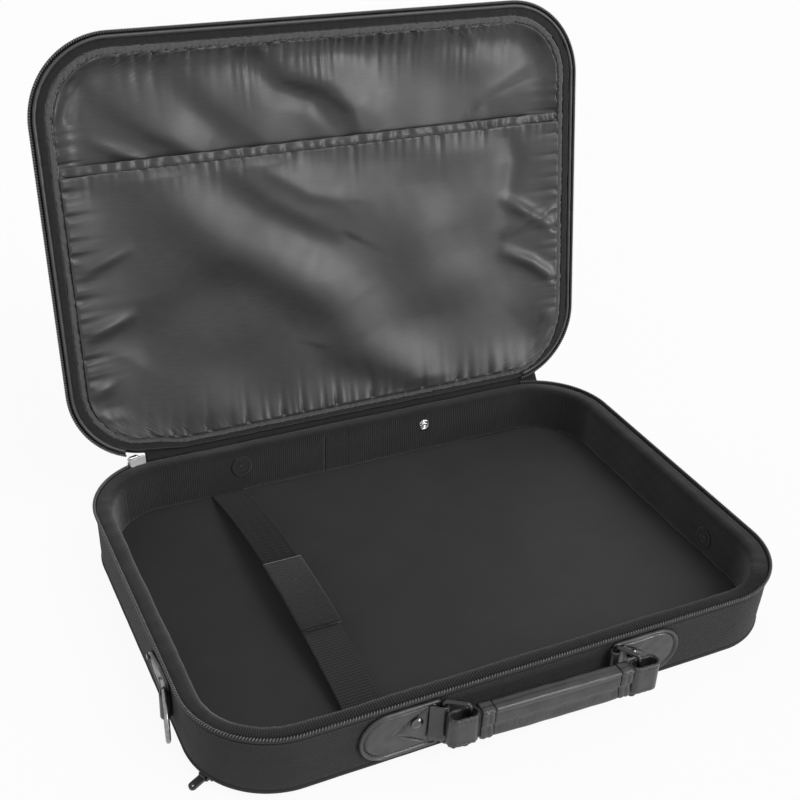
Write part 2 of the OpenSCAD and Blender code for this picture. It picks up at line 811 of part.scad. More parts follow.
// A D-shaped ring: the straight bar is the pivot, the bow is out along -Y
module d_ring() {
    bow_r = side_ring_h / 2;
    leg = side_ring_l - bow_r;
    rotate([0, 0, side_ring_swing]) {
        rotate([0, 0, -90]) {
            upright_bar(-bow_r + ring_bend, bow_r - ring_bend, wire_r);
            for (end = [0, 1]) mirror([0, 0, end]) {
                translate([0, 0, bow_r - ring_bend]) wire_bend();
                translate([ring_bend, 0, bow_r]) rotate([0, 90, 0])
                    cylinder(h = leg - ring_bend, r = wire_r, $fn = small_fn);
            }
            translate([leg, 0, 0]) rotate([90, 0, 0]) rotate([0, 0, -90])
                rotate_extrude(angle = 180) translate([bow_r, 0]) circle(wire_r, $fn = small_fn);
        }
    }
}

module side_ring_left() {
    color("#8d8d90") at_side(-1) d_ring();
}

module side_ring_right() {
    color("#8d8d90") at_side(1) d_ring();
}

// ---- Hold-down strap ----

// A length of webbing bent to an arc between the two roots, bow high in the middle. It runs
// from y0 (front) to y1 (rear), with its middle layer lift above the arc.
module webbing(y0, y1, w, t, bow, lift = 0) {
    arc_r = (strap_root_y * strap_root_y + bow * bow) / (2 * bow);
    a0 = asin(y0 / arc_r);
    a1 = asin(y1 / arc_r);
    translate([strap_x - w / 2, 0, strap_root_z + bow - arc_r]) rotate([90, 0, 90])
        rotate([0, 0, 90 - a1]) rotate_extrude(angle = a1 - a0, $fn = 720)
            translate([arc_r + lift - t / 2, 0]) square([t, w]);
}

// The rolled root of a strap: way is 1 at the rear and -1 at the front
module strap_root(way) {
    translate([strap_x, way * strap_root_y, strap_root_z]) rotate([0, 90, 0])
        cylinder(h = strap_w - 2 * root_short, r = strap_root_r, center = true, $fn = small_fn);
}

module strap_front() {
    color("#262628") {
        webbing(-strap_root_y, front_strap_end, strap_w, web_t, strap_bow);
        strap_root(-1);
    }
}

module strap_rear() {
    color("#2e2e30") {
        webbing(-rear_strap_end, strap_root_y, strap_w, web_t, strap_bow + strap_over);
        strap_root(1);
    }
}

pad_over = 4;
pad_t = 1.2;

module strap_pad() {
    pad_front = -rear_strap_end - pad_over;
    color("#242426")
        webbing(pad_front, pad_front + strap_pad_l, strap_w + 2, pad_t, strap_bow + strap_over,
                (web_t + pad_t) / 2 + web_gap);
}

// ---- Lid, drawn shut and turned open ----

module lid_wall_cover() {
    color("#2b2b2d") open_lid() around()
        lid_layer(0, cover_t, lid_rim_z + cover_drop, face_seam - layer_gap);
}

module lid_face_cover() {
    color("#2b2b2d") open_lid() plate(face_plate_inset, face_z - cover_t, face_z);
}

module lid_face_piping() {
    color("#202022") open_lid() around()
        translate([-face_piping_inset, face_z - piping_r]) circle(piping_r, $fn = small_fn);
}

module lid_board() {
    color("#6b5a45") open_lid() plate(face_plate_inset, lid_board_z, lid_board_z + board_t);
}

module lid_foam() {
    color("#4a4a4c") open_lid() plate(lid_inset(lid_foam_top) + board_in, foam_z, lid_foam_top);
}

module lid_wall_padding() {
    outer = lid_inset(foam_z) + board_in;
    color("#303032") open_lid() around()
        polygon([[-lid_inner_inset, lid_padding_z], [-outer, lid_padding_z],
                 [-outer, lining_z - layer_gap], [-lid_inner_inset, lining_z - layer_gap]]);
}

module lid_rim_piping() {
    color("#56565a") open_lid() around()
        translate([-rim_piping_inset, rim_piping_z]) circle(rim_piping_r, $fn = small_fn);
}

module lid_rim_band() {
    color("#3a3a3d") open_lid() around()
        translate([-band_inset - band_w, lid_padding_z - layer_gap - band_t]) square([band_w, band_t]);
}

module lid_lining() {
    color("#4c4c50") open_lid() plate(lid_inset(foam_z) + board_in, lining_z, lining_z + satin_t);
}

// Part of the lid between two distances from the hinge side zip line
module lid_span(s0, s1) {
    translate([-case_w / 2, case_d / 2 - s1, lid_rim_z - over]) cube([case_w, s1 - s0, lid_h + over]);
}

module lid_pocket_panel() {
    color("#4c4c50") open_lid() intersection() {
        plate(lid_inner_inset, pocket_panel_z, pocket_panel_z + satin_t);
        lid_span(0, mouth_s - hem_w - layer_gap);
    }
}

// The hem's extra thickness on each side of the panel
hem_fold = 0.4;

module lid_pocket_hem() {
    color("#565659") open_lid() intersection() {
        plate(lid_inner_inset, pocket_panel_z - hem_fold, pocket_panel_z + satin_t + hem_fold);
        lid_span(mouth_s - hem_w, mouth_s);
    }
}

// The lid's half of the zip starts clear of the parked slider
lid_left_turn = 90 - slider_turn - slider_clear;

module lid_zip_tape() {
    edge = lid_rim_z + cover_drop;
    color("#151516") open_lid() along_zip(lid_left_turn)
        tape_section(lid_rim_z, 1, lid_inset(edge), lid_inset(edge + tape_depth));
}

module lid_zip_chain() {
    color("#0f0f10") open_lid() along_zip(lid_left_turn)
        translate([0, lid_rim_z]) circle(chain_r, $fn = small_fn);
}

tray_wall_cover();
tray_wall_board();
tray_wall_padding();
tray_base_piping();
tray_base_cover();
tray_base_board();
tray_floor_pad();
tray_zip_tape();
tray_zip_chain();
hinge_strip();
rear_wall_stud();
rear_wall_disc();
side_wall_discs();
base_pocket();
base_pocket_zip();
base_pocket_slider();
base_pocket_pull();
handle_patch_left();
handle_patch_right();
handle_rivet_left();
handle_rivet_right();
handle_ring_left();
handle_ring_right();
handle_strap();
handle_grip();
handle_collar_left();
handle_collar_right();
side_patch_left();
side_patch_right();
side_rivets();
side_ring_left();
side_ring_right();
strap_rear();
strap_pad();
strap_front();
zip_slider();
zip_pull();
lid_wall_cover();
lid_face_cover();
lid_face_piping();
lid_board();
lid_foam();
lid_wall_padding();
lid_rim_piping();
lid_rim_band();
lid_lining();
lid_pocket_panel();
lid_pocket_hem();
lid_zip_tape();
lid_zip_chain();
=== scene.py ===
"""Looks of an open, zipped laptop case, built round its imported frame.

Sizes are millimetres in the frame's own axes: +X along the case, +Y towards the hinge, +Z up.
The lid's pieces are drawn in their shut position and tipped open with the rest of the lid.
"""
import math

import bmesh
import bpy
import numpy as np
from mathutils import Matrix, Vector


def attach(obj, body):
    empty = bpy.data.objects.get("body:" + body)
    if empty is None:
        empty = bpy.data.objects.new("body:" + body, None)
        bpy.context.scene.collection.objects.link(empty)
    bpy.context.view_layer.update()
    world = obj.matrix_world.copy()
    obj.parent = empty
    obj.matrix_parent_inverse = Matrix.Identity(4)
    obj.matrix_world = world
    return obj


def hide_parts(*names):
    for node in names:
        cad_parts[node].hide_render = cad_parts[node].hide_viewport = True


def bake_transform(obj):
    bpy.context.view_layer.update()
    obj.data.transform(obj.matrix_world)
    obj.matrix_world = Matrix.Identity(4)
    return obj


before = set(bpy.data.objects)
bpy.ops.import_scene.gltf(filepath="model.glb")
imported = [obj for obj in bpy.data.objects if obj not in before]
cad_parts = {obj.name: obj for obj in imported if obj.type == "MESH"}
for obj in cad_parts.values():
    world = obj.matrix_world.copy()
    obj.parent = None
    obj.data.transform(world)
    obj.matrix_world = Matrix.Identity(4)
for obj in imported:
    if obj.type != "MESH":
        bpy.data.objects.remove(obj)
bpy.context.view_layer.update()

MM = 0.001

# ---- Sizes of the case, in millimetres, as in the frame ----
CASE_W = 422.0
CASE_D = 305.0
CORNER_R = 58.0
BASE_Z = 8.0
RIM_Z = 54.0
LID_RIM_Z = 57.0
FACE_Z = 79.0
TRAY_H = RIM_Z - BASE_Z
LID_H = FACE_Z - LID_RIM_Z
RIM_INSET = 0.5
BASE_INSET = 2.5
FACE_INSET = 5.0
LID_ANGLE = math.radians(100.15)
HINGE_Y = 151.45
HINGE_Z = 58.9
COVER_T = 1.2
COVER_DROP = 4.0
WALL_LEAN = math.atan((BASE_INSET - RIM_INSET) / TRAY_H)
FLOOR_TOP = 16.7
FLOOR_Z = 11.7
PADDING_IN = 4.3
INNER_IN = 12.3
PIPING_R = 1.8
FRONT_Y = -CASE_D / 2
SIDES = ((-1, "left"), (1, "right"))


def tray_inset(z):
    """Inset of the tray wall's outer face from the zip line at height z."""
    return RIM_INSET + (BASE_INSET - RIM_INSET) * (RIM_Z - z) / TRAY_H


def lid_inset(z):
    """Inset of the lid wall's outer face from the zip line at height z, with the lid shut."""
    return RIM_INSET + (FACE_INSET - RIM_INSET) * (z - LID_RIM_Z) / LID_H


def opened(y, z):
    """Where a point of the shut lid is with the lid open."""
    y, z = np.asarray(y) - HINGE_Y, np.asarray(z) - HINGE_Z
    c, s = math.cos(LID_ANGLE), math.sin(LID_ANGLE)
    return HINGE_Y + y * c + z * s, HINGE_Z - y * s + z * c


# ---- The zip line: the outline that walls, pipings and zips follow ----
HALF_L = CASE_W / 2 - CORNER_R
HALF_D = CASE_D / 2 - CORNER_R
QUARTER = CORNER_R * math.pi / 2
LEGS = [HALF_L, QUARTER, 2 * HALF_D, QUARTER, 2 * HALF_L, QUARTER, 2 * HALF_D, QUARTER, HALF_L]
RUNS = np.concatenate([[0], np.cumsum(LEGS)])
ROUND = RUNS[-1]
STARTS = np.array([
    [0, CASE_D / 2], [-HALF_L, HALF_D], [-CASE_W / 2, HALF_D],
    [-HALF_L, -HALF_D], [-HALF_L, -CASE_D / 2], [HALF_L, -HALF_D],
    [CASE_W / 2, -HALF_D], [HALF_L, HALF_D], [HALF_L, CASE_D / 2],
])
# The zips start 10 degrees into each rear corner, and the lid's half just past the parked slider
ZIP_START = RUNS[1] + math.radians(10) * CORNER_R
LID_ZIP_START = RUNS[1] + math.radians(21.5) * CORNER_R


def zip_line(s):
    """Points and outward normals at lengths s, anticlockwise from the middle of the rear."""
    s = np.mod(s, ROUND)
    leg = np.clip(np.searchsorted(RUNS, s, side="right") - 1, 0, len(LEGS) - 1)
    t = s - RUNS[leg]
    bend = leg % 2 == 1
    angle = math.pi / 2 * (1 + leg // 2) + np.where(bend, t / CORNER_R, 0)
    normal = np.stack([np.cos(angle), np.sin(angle)], -1)
    along = np.stack([-normal[:, 1], normal[:, 0]], -1)
    point = STARTS[leg] + np.where(bend[:, None], CORNER_R * normal, t[:, None] * along)
    return point, normal


def lengths(start, end, step):
    """Evenly spaced lengths along the zip line, both ends included."""
    return np.linspace(start, end, max(2, int(round((end - start) / step))) + 1)


def all_round(step):
    """Evenly spaced lengths for a piece that closes on itself."""
    return lengths(0, ROUND, step)[:-1]


# ---- Shapes of sections and small waves ----
def rounded(corners, radius, step):
    """A closed outline through corners, each rounded, with points about step apart."""
    corners = np.array(corners, float)
    count = len(corners)
    radii = np.broadcast_to(np.asarray(radius, float), count)
    outline = []
    for i in range(count):
        before, here, after = corners[i - 1], corners[i], corners[(i + 1) % count]
        u, v = before - here, after - here
        lu, lv = np.linalg.norm(u), np.linalg.norm(v)
        u, v = u / lu, v / lv
        half = math.acos(np.clip(u @ v, -1, 1)) / 2
        cut = min(radii[i] / math.tan(half), 0.48 * lu, 0.48 * lv)
        r = cut * math.tan(half)
        bisector = (u + v) / np.linalg.norm(u + v)
        centre = here + bisector * r / math.sin(half)
        first = here + u * cut - centre
        last = here + v * cut - centre
        a0 = math.atan2(first[1], first[0])
        turn = (math.atan2(last[1], last[0]) - a0 + math.pi) % (2 * math.pi) - math.pi
        bits = int(np.clip(math.ceil(abs(turn) * r / step), 2, 8))
        angles = a0 + turn * np.linspace(0, 1, bits + 1)
        outline.extend(centre + r * np.stack([np.cos(angles), np.sin(angles)], -1))
    full = []
    for here, after in zip(outline, outline[1:] + outline[:1]):
        bits = max(1, int(math.ceil(np.linalg.norm(after - here) / step - 0.2)))
        full.extend(here + (after - here) * k / bits for k in range(bits))
    return np.array(full)


def bar(half_w, half_t, radius, step):
    """A rounded oblong about its own middle."""
    return rounded([[-half_w, -half_t], [half_w, -half_t], [half_w, half_t], [-half_w, half_t]], radius, step)


def circle(x, z, r, count):
    """A round section."""
    a = np.linspace(0, 2 * math.pi, count, endpoint=False)
    return np.stack([x + r * np.cos(a), z + r * np.sin(a)], -1)


def eased(share):
    """0 to 1 with a soft start and end."""
    share = np.clip(share, 0, 1)
    return share * share * (3 - 2 * share)


def waves(points, seed, size, terms=7):
    """Smooth, repeatable waves of about this size over points, from -1 to 1."""
    rng = np.random.default_rng(seed)
    points = np.asarray(points, float)
    total = np.zeros(points.shape[:-1])
    for _ in range(terms):
        way = rng.normal(size=points.shape[-1])
        way *= 2 * math.pi / size / np.linalg.norm(way) * rng.uniform(0.6, 1.6)
        total += np.sin(points @ way + rng.uniform(0, 2 * math.pi))
    return total / terms ** 0.5 / 1.4


def run_of(line):
    """Length run along a line at each of its points."""
    return np.concatenate([[0], np.cumsum(np.linalg.norm(np.diff(line, axis=0), axis=1))])


def unit(vectors):
    """Vectors brought to a length of one."""
    return vectors / np.linalg.norm(vectors, axis=-1, keepdims=True)


def outward(section):
    """Unit normals of a closed section, pointing out of it."""
    along = np.roll(section, -1, 0) - np.roll(section, 1, 0)
    normal = np.stack([along[:, 1], -along[:, 0]], -1)
    normal /= np.linalg.norm(normal, axis=1)[:, None] + 1e-9
    x, z = section.T
    area = np.sum(x * np.roll(z, -1) - np.roll(x, -1) * z)
    return normal if area > 0 else -normal


# ---- Pieces ----
class Piece:
    """Gathers the points, faces and cloth coordinates of one object."""

    def __init__(self):
        self.points, self.faces, self.coords = [], [], []
        self.count = 0

    def add(self, points, faces, coords):
        """faces are lists of point numbers; coords has a pair of millimetres for each point of each face."""
        points = np.asarray(points, float).reshape(-1, 3)
        self.faces.extend([[int(i) + self.count for i in face] for face in faces])
        self.coords.extend(coords)
        self.points.append(points)
        self.count += len(points)

    def skin(self, rows, closed=False, u=None, v=None):
        """Joins closed sections into a skin: rows[i, j] is point j of section i."""
        rows = np.asarray(rows, float)
        nu, nv = rows.shape[:2]
        if u is None:
            u = run_of(rows.mean(1))
        if v is None:
            v = run_of(np.vstack([rows[0], rows[0][:1]]))
        u = np.append(u, 2 * u[-1] - u[-2])
        i, j = np.meshgrid(np.arange(nu if closed else nu - 1), np.arange(nv), indexing="ij")
        i, j = i.ravel(), j.ravel()
        i2, j2 = (i + 1) % nu, (j + 1) % nv
        quads = np.stack([i * nv + j, i2 * nv + j, i2 * nv + j2, i * nv + j2], -1).tolist()
        coords = np.stack([
            np.stack([u[i], v[j]], -1), np.stack([u[i + 1], v[j]], -1),
            np.stack([u[i + 1], v[j + 1]], -1), np.stack([u[i], v[j + 1]], -1)], 1).reshape(-1, 2)
        coords = coords.tolist()
        if not closed:
            for row in (0, nu - 1):
                quads.append([row * nv + k for k in range(nv)])
                coords.extend([[u[row], v[k]] for k in range(nv)])
        self.add(rows, quads, coords)

    def plate(self, x, y, top, bottom):
        """A plate between two surfaces over a grid of points x, y."""
        ny, nx = x.shape
        upper, lower = np.stack([x, y, top], -1), np.stack([x, y, bottom], -1)
        i, j = np.meshgrid(np.arange(ny - 1), np.arange(nx - 1), indexing="ij")
        a = (i * nx + j).ravel()
        quads = np.stack([a, a + 1, a + nx + 1, a + nx], -1)
        edge = np.concatenate([
            np.arange(nx), nx - 1 + nx * np.arange(1, ny),
            nx * (ny - 1) + np.arange(nx - 2, -1, -1), nx * np.arange(ny - 2, 0, -1)])
        after = np.roll(edge, -1)
        under = nx * ny
        sides = np.stack([edge, after, after + under, edge + under], -1)
        faces = np.concatenate([quads, quads[:, ::-1] + under, sides])
        flat = np.tile(np.stack([x.ravel(), y.ravel()], -1), (2, 1))
        self.add(np.concatenate([upper.reshape(-1, 3), lower.reshape(-1, 3)]),
                 faces.tolist(), flat[faces.ravel()].tolist())

    def ribbon(self, line, across, section, closed=False):
        """Carries a section along a line: its first number runs across, its second along the normal."""
        line = np.asarray(line, float)
        along = np.roll(line, -1, 0) - np.roll(line, 1, 0) if closed else np.gradient(line, axis=0)
        across = np.asarray(across, float)
        normal = unit(np.cross(along, across))
        section = np.broadcast_to(section, (len(line),) + np.shape(section)[-2:])
        rows = line[:, None] + section[..., :1] * across + section[..., 1:] * normal[:, None]
        self.skin(rows, closed)

    def tube(self, line, radius, sides=6, closed=False):
        """A round tube along a line."""
        line = np.asarray(line, float)
        along = unit(np.roll(line, -1, 0) - np.roll(line, 1, 0) if closed else np.gradient(line, axis=0))
        guess = np.array([0, 0, 1.0])
        first = np.cross(along, guess)
        flat = np.linalg.norm(first, axis=1) < 0.2
        first[flat] = np.cross(along[flat], [1.0, 0, 0])
        first = unit(first)
        second = np.cross(along, first)
        a = np.linspace(0, 2 * math.pi, sides, endpoint=False)
        radius = np.broadcast_to(radius, len(line))[:, None, None]
        rows = line[:, None] + radius * (
            np.cos(a)[None, :, None] * first[:, None] + np.sin(a)[None, :, None] * second[:, None])
        self.skin(rows, closed)

    def stitches(self, line, normals, pitch, length, radius):
        """A row of stitches along a line of points that are close together."""
        line, normals = np.asarray(line, float), np.asarray(normals, float)
        run = run_of(line)
        for middle in np.arange(pitch / 2, run[-1], pitch):
            ends = [np.array([np.interp(middle + way * length / 2, run, line[:, k]) for k in range(3)])
                    for way in (-1, 1)]
            up = np.array([np.interp(middle, run, normals[:, k]) for k in range(3)])
            along = ends[1] - ends[0]
            side = np.cross(up, along)
            side *= radius / (np.linalg.norm(side) + 1e-9)
            up = up * radius
            points, ring = [], [(-1, 0), (-0.6, 0.8), (0.6, 0.8), (1, 0)]
            for across, rise in ring:
                points += [ends[0] + across * side + (rise - 0.5) * up + 0.18 * along,
                           ends[1] + across * side + (rise - 0.5) * up - 0.18 * along]
            points += [ends[0] - 0.5 * up, ends[1] - 0.5 * up]
            faces = [[0, 1, 3, 2], [2, 3, 5, 4], [4, 5, 7, 6], [8, 0, 2], [8, 2, 4], [8, 4, 6],
                     [9, 3, 1], [9, 5, 3], [9, 7, 5], [8, 9, 1, 0], [6, 7, 9, 8]]
            coords = [[middle, 0.0]] * sum(len(face) for face in faces)
            self.add(points, faces, coords)

    def moved(self, turn, to):
        """Turns what was gathered about the upright axis and moves it."""
        c, s_ = math.cos(turn), math.sin(turn)
        spin = np.array([[c, s_, 0], [-s_, c, 0], [0, 0, 1]])
        self.points = [points @ spin + to for points in self.points]
        return self

    def make(self, name, look, body, replaces=(), slot=None):
        """Turns what was gathered into an object that rides on a body and stands for CAD nodes.
        A piece of the lid is drawn with the lid shut and tipped open here."""
        points = np.concatenate(self.points)
        if body == "lid":
            points[:, 1], points[:, 2] = opened(points[:, 1], points[:, 2])
        mesh = bpy.data.meshes.new(name)
        mesh.from_pydata((points * MM).tolist(), [], self.faces)
        layer = mesh.uv_layers.new(name="cloth")
        layer.data.foreach_set("uv", np.array(self.coords, np.float32).ravel())
        shell = bmesh.new()
        shell.from_mesh(mesh)
        bmesh.ops.recalc_face_normals(shell, faces=shell.faces)
        shell.to_mesh(mesh)
        shell.free()
        mesh.polygons.foreach_set("use_smooth", [True] * len(mesh.polygons))
        mesh.materials.append(look)
        piece = bpy.data.objects.new(name, mesh)
        bpy.context.scene.collection.objects.link(piece)
        if body:
            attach(piece, body)
        if replaces:
            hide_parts(*replaces)
        return piece


PULL_FROM_Y = 95.0
PULL_FROM_X = -156.0
PULL_OUTER = 3.0
PULL_MORE = 2.4


def hinge_pull(x, y, inset):
    """How far the lid's rim is drawn towards the hinge, where no zip tape or slider lies between."""
    near = eased((y - PULL_FROM_Y) / 50)
    past = eased((x - PULL_FROM_X) / 30)
    return near * past * (PULL_OUTER + PULL_MORE * np.clip((inset - 3.4) / 7.0, 0, 1))


def swept(s, section, closed=False, lift=None, pull=False):
    """A piece with a section carried along the zip line; lift moves each point along the section's normal."""
    section = np.asarray(section, float)
    x = np.broadcast_to(section[:, 0], (len(s), len(section))).copy()
    z = np.broadcast_to(section[:, 1], (len(s), len(section))).copy()
    if lift is not None:
        normal = outward(section)
        x += lift * normal[:, 0]
        z += lift * normal[:, 1]
    point, way = zip_line(s)
    rows = np.stack([point[:, :1] + way[:, :1] * x, point[:, 1:] + way[:, 1:] * x, z], -1)
    if pull:
        rows[..., 1] += hinge_pull(rows[..., 0], rows[..., 1], -x)
    piece = Piece()
    piece.skin(rows, closed, u=s, v=run_of(np.vstack([section, section[:1]])))
    return piece


def around(s, x, z):
    """Points of the zip line moved out by x, at height z."""
    point, way = zip_line(s)
    x = np.broadcast_to(x, s.shape)
    z = np.broadcast_to(z, s.shape)
    return np.stack([point[:, 0] + way[:, 0] * x, point[:, 1] + way[:, 1] * x, z], -1), way


def over(s, section, stretch):
    """Points of a swept section for waves to be taken at, its heights stretched."""
    points, _ = around(s, 0, 0)
    grid = np.repeat(points[:, None], len(section), 1)
    grid[..., 2] = stretch * section[:, 1]
    return grid


# ---- Materials ----
def grey(level):
    """The colour of a grey as it is seen, 0 to 255."""
    v = level / 255
    v = v / 12.92 if v <= 0.04045 else ((v + 0.055) / 1.055) ** 2.4
    return (v, v, v, 1)


def add_node(tree, kind, *inputs, **settings):
    """Adds a node to a tree and sets or links its inputs in order."""
    node = tree.nodes.new(kind)
    for key, value in settings.items():
        setattr(node, key, value)
    for socket, value in zip(node.inputs, inputs):
        if isinstance(value, bpy.types.NodeSocket):
            tree.links.new(value, socket)
        elif value is not None:
            socket.default_value = value
    return node


class Look:
    """A node material round one Principled shader. Its patterns are in millimetres."""

    def __init__(self, name, rough, specular=0.5, sheen=0.0, sheen_rough=0.5, metallic=0.0, coat=0.0,
                 on_cad=False):
        self.material = bpy.data.materials.new(name)
        self.material.use_nodes = True
        self.tree = self.material.node_tree
        self.shader = self.tree.nodes["Principled BSDF"]
        for socket, value in (("Roughness", rough), ("Specular IOR Level", specular),
                              ("Sheen Weight", sheen), ("Sheen Roughness", sheen_rough),
                              ("Metallic", metallic), ("Coat Weight", coat)):
            self.shader.inputs[socket].default_value = value
        if on_cad:
            place = add_node(self.tree, "ShaderNodeTexCoord").outputs["Object"]
            self.coords = self.node("ShaderNodeVectorMath", place, (1000, 1000, 1000), operation="MULTIPLY")
        else:
            self.coords = self.node("ShaderNodeUVMap", uv_map="cloth")

    def node(self, kind, *inputs, **settings):
        """Adds a node and gives its first output."""
        return add_node(self.tree, kind, *inputs, **settings).outputs[0]

    def maths(self, operation, *inputs):
        """Adds a maths node."""
        return self.node("ShaderNodeMath", *inputs, operation=operation)

    def noise(self, size, detail=2.0, stretch=(1, 1, 1)):
        """Cloudy noise with lumps of about this size."""
        vector = self.node("ShaderNodeVectorMath", self.coords, tuple(k / size for k in stretch),
                           operation="MULTIPLY")
        return self.node("ShaderNodeTexNoise", vector, None, 1.0, detail)

    def ribs(self, pitch, angle=0.0, sideways=None):
        """Rounded ribs, 0 to 1, a pitch apart; the angle turns them from upright. sideways shifts them."""
        turn = math.radians(angle)
        way = (math.cos(turn) * 2 * math.pi / pitch, math.sin(turn) * 2 * math.pi / pitch, 0)
        dot = add_node(self.tree, "ShaderNodeVectorMath", self.coords, way, operation="DOT_PRODUCT")
        phase = dot.outputs["Value"]
        if sideways is not None:
            phase = self.maths("ADD", phase, sideways)
        return self.maths("MULTIPLY_ADD", self.maths("SINE", phase), 0.5, 0.5)

    def blend(self, *parts):
        """Adds up pairs of a pattern and its weight."""
        total = None
        for pattern, weight in parts:
            scaled = self.maths("MULTIPLY", pattern, weight)
            total = scaled if total is None else self.maths("ADD", total, scaled)
        return total

    def tone(self, pattern, *stops):
        """Colours the surface by a pattern: stops are pairs of place and grey level."""
        ramp = self.tree.nodes.new("ShaderNodeValToRGB")
        elements = ramp.color_ramp.elements
        for k, (place, level) in enumerate(stops):
            element = elements[k] if k < 2 else elements.new(place)
            element.position = place
            element.color = grey(level)
        self.tree.links.new(pattern, ramp.inputs[0])
        self.tree.links.new(ramp.outputs[0], self.shader.inputs["Base Color"])
        return self

    def relief(self, pattern, depth):
        """Raises the surface by a pattern; depth in millimetres."""
        bump = self.tree.nodes.new("ShaderNodeBump")
        bump.inputs["Distance"].default_value = depth * MM
        self.tree.links.new(pattern, bump.inputs["Height"])
        self.tree.links.new(bump.outputs[0], self.shader.inputs["Normal"])
        return self

    def gloss(self, pattern, low, high):
        """Varies the roughness from low to high with a pattern."""
        value = self.maths("MULTIPLY_ADD", pattern, high - low, low)
        self.tree.links.new(value, self.shader.inputs["Roughness"])
        return self


def twill(name, dark, light, pitch=1.15, rough=0.85, sheen=0.1):
    """Polyester twill: steep diagonal ribs crossed by finer threads, with a little mottling. Its colour
    follows the weave's height, so the valleys between threads carry painted shade.
    """
    look = Look(name, rough, specular=0.3, sheen=sheen)
    diagonal = look.ribs(pitch, 35)
    threads = look.ribs(0.62 * pitch, -58)
    weave = look.blend((look.maths("MULTIPLY", diagonal, threads), 0.55), (diagonal, 0.2),
                       (look.noise(0.9, 3), 0.25), (look.noise(26, 2), 0.12))
    # Colour by weave height: real mottling from the noise, plus painted shade in the low threads and painted
    # highlight on the raised ones
    return look.tone(weave, (0.15, dark), (0.75, light)).relief(weave, 0.34).material


def ribbed_lining():
    """Brushed lining with raised ribs. The ribs are painted into its colour too: painted highlight on their
    crests and painted shade in their valleys.
    """
    look = Look("ribbed_lining", 0.95, specular=0.15, sheen=0.35)
    fibres = look.noise(0.6, 4)
    ribs = look.ribs(1.7, 0, math.pi / 2)
    # The rib term, in step with the padding's shaped ribs, paints the crests lighter and the valleys darker:
    # painted highlight and painted shade
    weave = look.blend((ribs, 0.5), (fibres, 0.45), (look.noise(14, 2), 0.2))
    return look.tone(weave, (0.25, 8), (0.95, 40)).relief(fibres, 0.25).material


def fleece(name, dark, light, size=0.7):
    """Brushed fabric with a short, uneven pile."""
    look = Look(name, 0.98, specular=0.1, sheen=0.4)
    pile = look.blend((look.noise(size, 5), 0.75), (look.noise(5 * size, 3), 0.35))
    return look.tone(pile, (0.3, dark), (0.8, light)).relief(pile, 0.45).material


def satin(name, dark, light):
    """Thin satin with fine level threads."""
    look = Look(name, 0.36, specular=0.38, sheen=0.08, sheen_rough=0.4)
    threads = look.ribs(0.55, 90)
    slubs = look.noise(1.2, 4, (0.12, 1, 1))
    weave = look.blend((threads, 0.3), (slubs, 0.5), (look.noise(0.5, 3), 0.3))
    look.gloss(look.noise(9, 3), 0.32, 0.42)
    return look.tone(weave, (0.25, dark), (0.85, light)).relief(weave, 0.03).material


def leather(name, dark, light, on_cad=False):
    """Smooth coated leather with a fine pebble and worn patches."""
    look = Look(name, 0.4, specular=0.5, coat=0.15, on_cad=on_cad)
    pebble = look.node("ShaderNodeTexVoronoi", look.coords, None, 0.9, feature="SMOOTH_F1")
    wear = look.noise(11, 4)
    look.gloss(wear, 0.26, 0.5)
    grain = look.blend((pebble, 0.5), (look.noise(0.6, 4), 0.4))
    return look.tone(wear, (0.3, dark), (0.75, light)).relief(grain, 0.1).material


def webbing(name, dark, light, herringbone):
    """Woven tape: a chevron for the rear strap and a basket weave for the front one."""
    look = Look(name, 0.85, specular=0.2, sheen=0.08)
    if herringbone:
        parts = add_node(look.tree, "ShaderNodeSeparateXYZ", look.coords)
        zigzag = look.maths("PINGPONG", parts.outputs[1], 3.2)
        weave = look.ribs(2.1, 0, look.maths("MULTIPLY", zigzag, 2.2))
    else:
        weave = look.maths("MULTIPLY", look.ribs(2.2), look.ribs(1.5, 90))
    both = look.blend((weave, 0.75), (look.noise(0.7, 3), 0.3))
    return look.tone(both, (0.15, dark), (0.85, light)).relief(both, 0.4).material


def nylon(name, dark, light):
    """Smooth lining nylon."""
    look = Look(name, 0.6, specular=0.35, sheen=0.15)
    cloth = look.blend((look.ribs(0.7, 45), 0.2), (look.noise(0.8, 3), 0.4), (look.noise(30, 3), 0.5))
    return look.tone(cloth, (0.25, dark), (0.85, light)).relief(cloth, 0.06).material


def plastic(name, dark, light, rough=0.35, on_cad=False, size=6.0, specular=0.5):
    """Enamel, coil nylon or vinyl: near smooth, with faint clouds and scuffs."""
    look = Look(name, rough, specular=specular, on_cad=on_cad)
    clouds = look.noise(size, 4)
    look.gloss(clouds, 0.75 * rough, 1.3 * rough)
    return look.tone(clouds, (0.3, dark), (0.75, light)).relief(look.noise(0.5, 3), 0.015).material


def metal(name, dark, light, rough=0.25, on_cad=False, metallic=1.0):
    """Plated metal with soft wear; a satin plating is less metallic."""
    look = Look(name, rough, metallic=metallic, on_cad=on_cad)
    clouds = look.noise(3, 4)
    look.gloss(clouds, 0.7 * rough, 1.5 * rough)
    return look.tone(clouds, (0.3, dark), (0.7, light)).relief(look.noise(0.8, 3), 0.012).material


def fibreboard(name, on_cad=True):
    """Pressed board with short fibres."""
    look = Look(name, 0.9, specular=0.2, on_cad=on_cad)
    fibres = look.noise(1.4, 5, (1, 0.4, 1))
    return look.tone(fibres, (0.3, 88), (0.75, 120)).relief(fibres, 0.1).material


def open_foam(name):
    """Foam with open cells."""
    look = Look(name, 0.95, specular=0.1)
    cells = look.noise(0.8, 5)
    return look.tone(cells, (0.3, 60), (0.75, 92)).relief(cells, 0.3).material


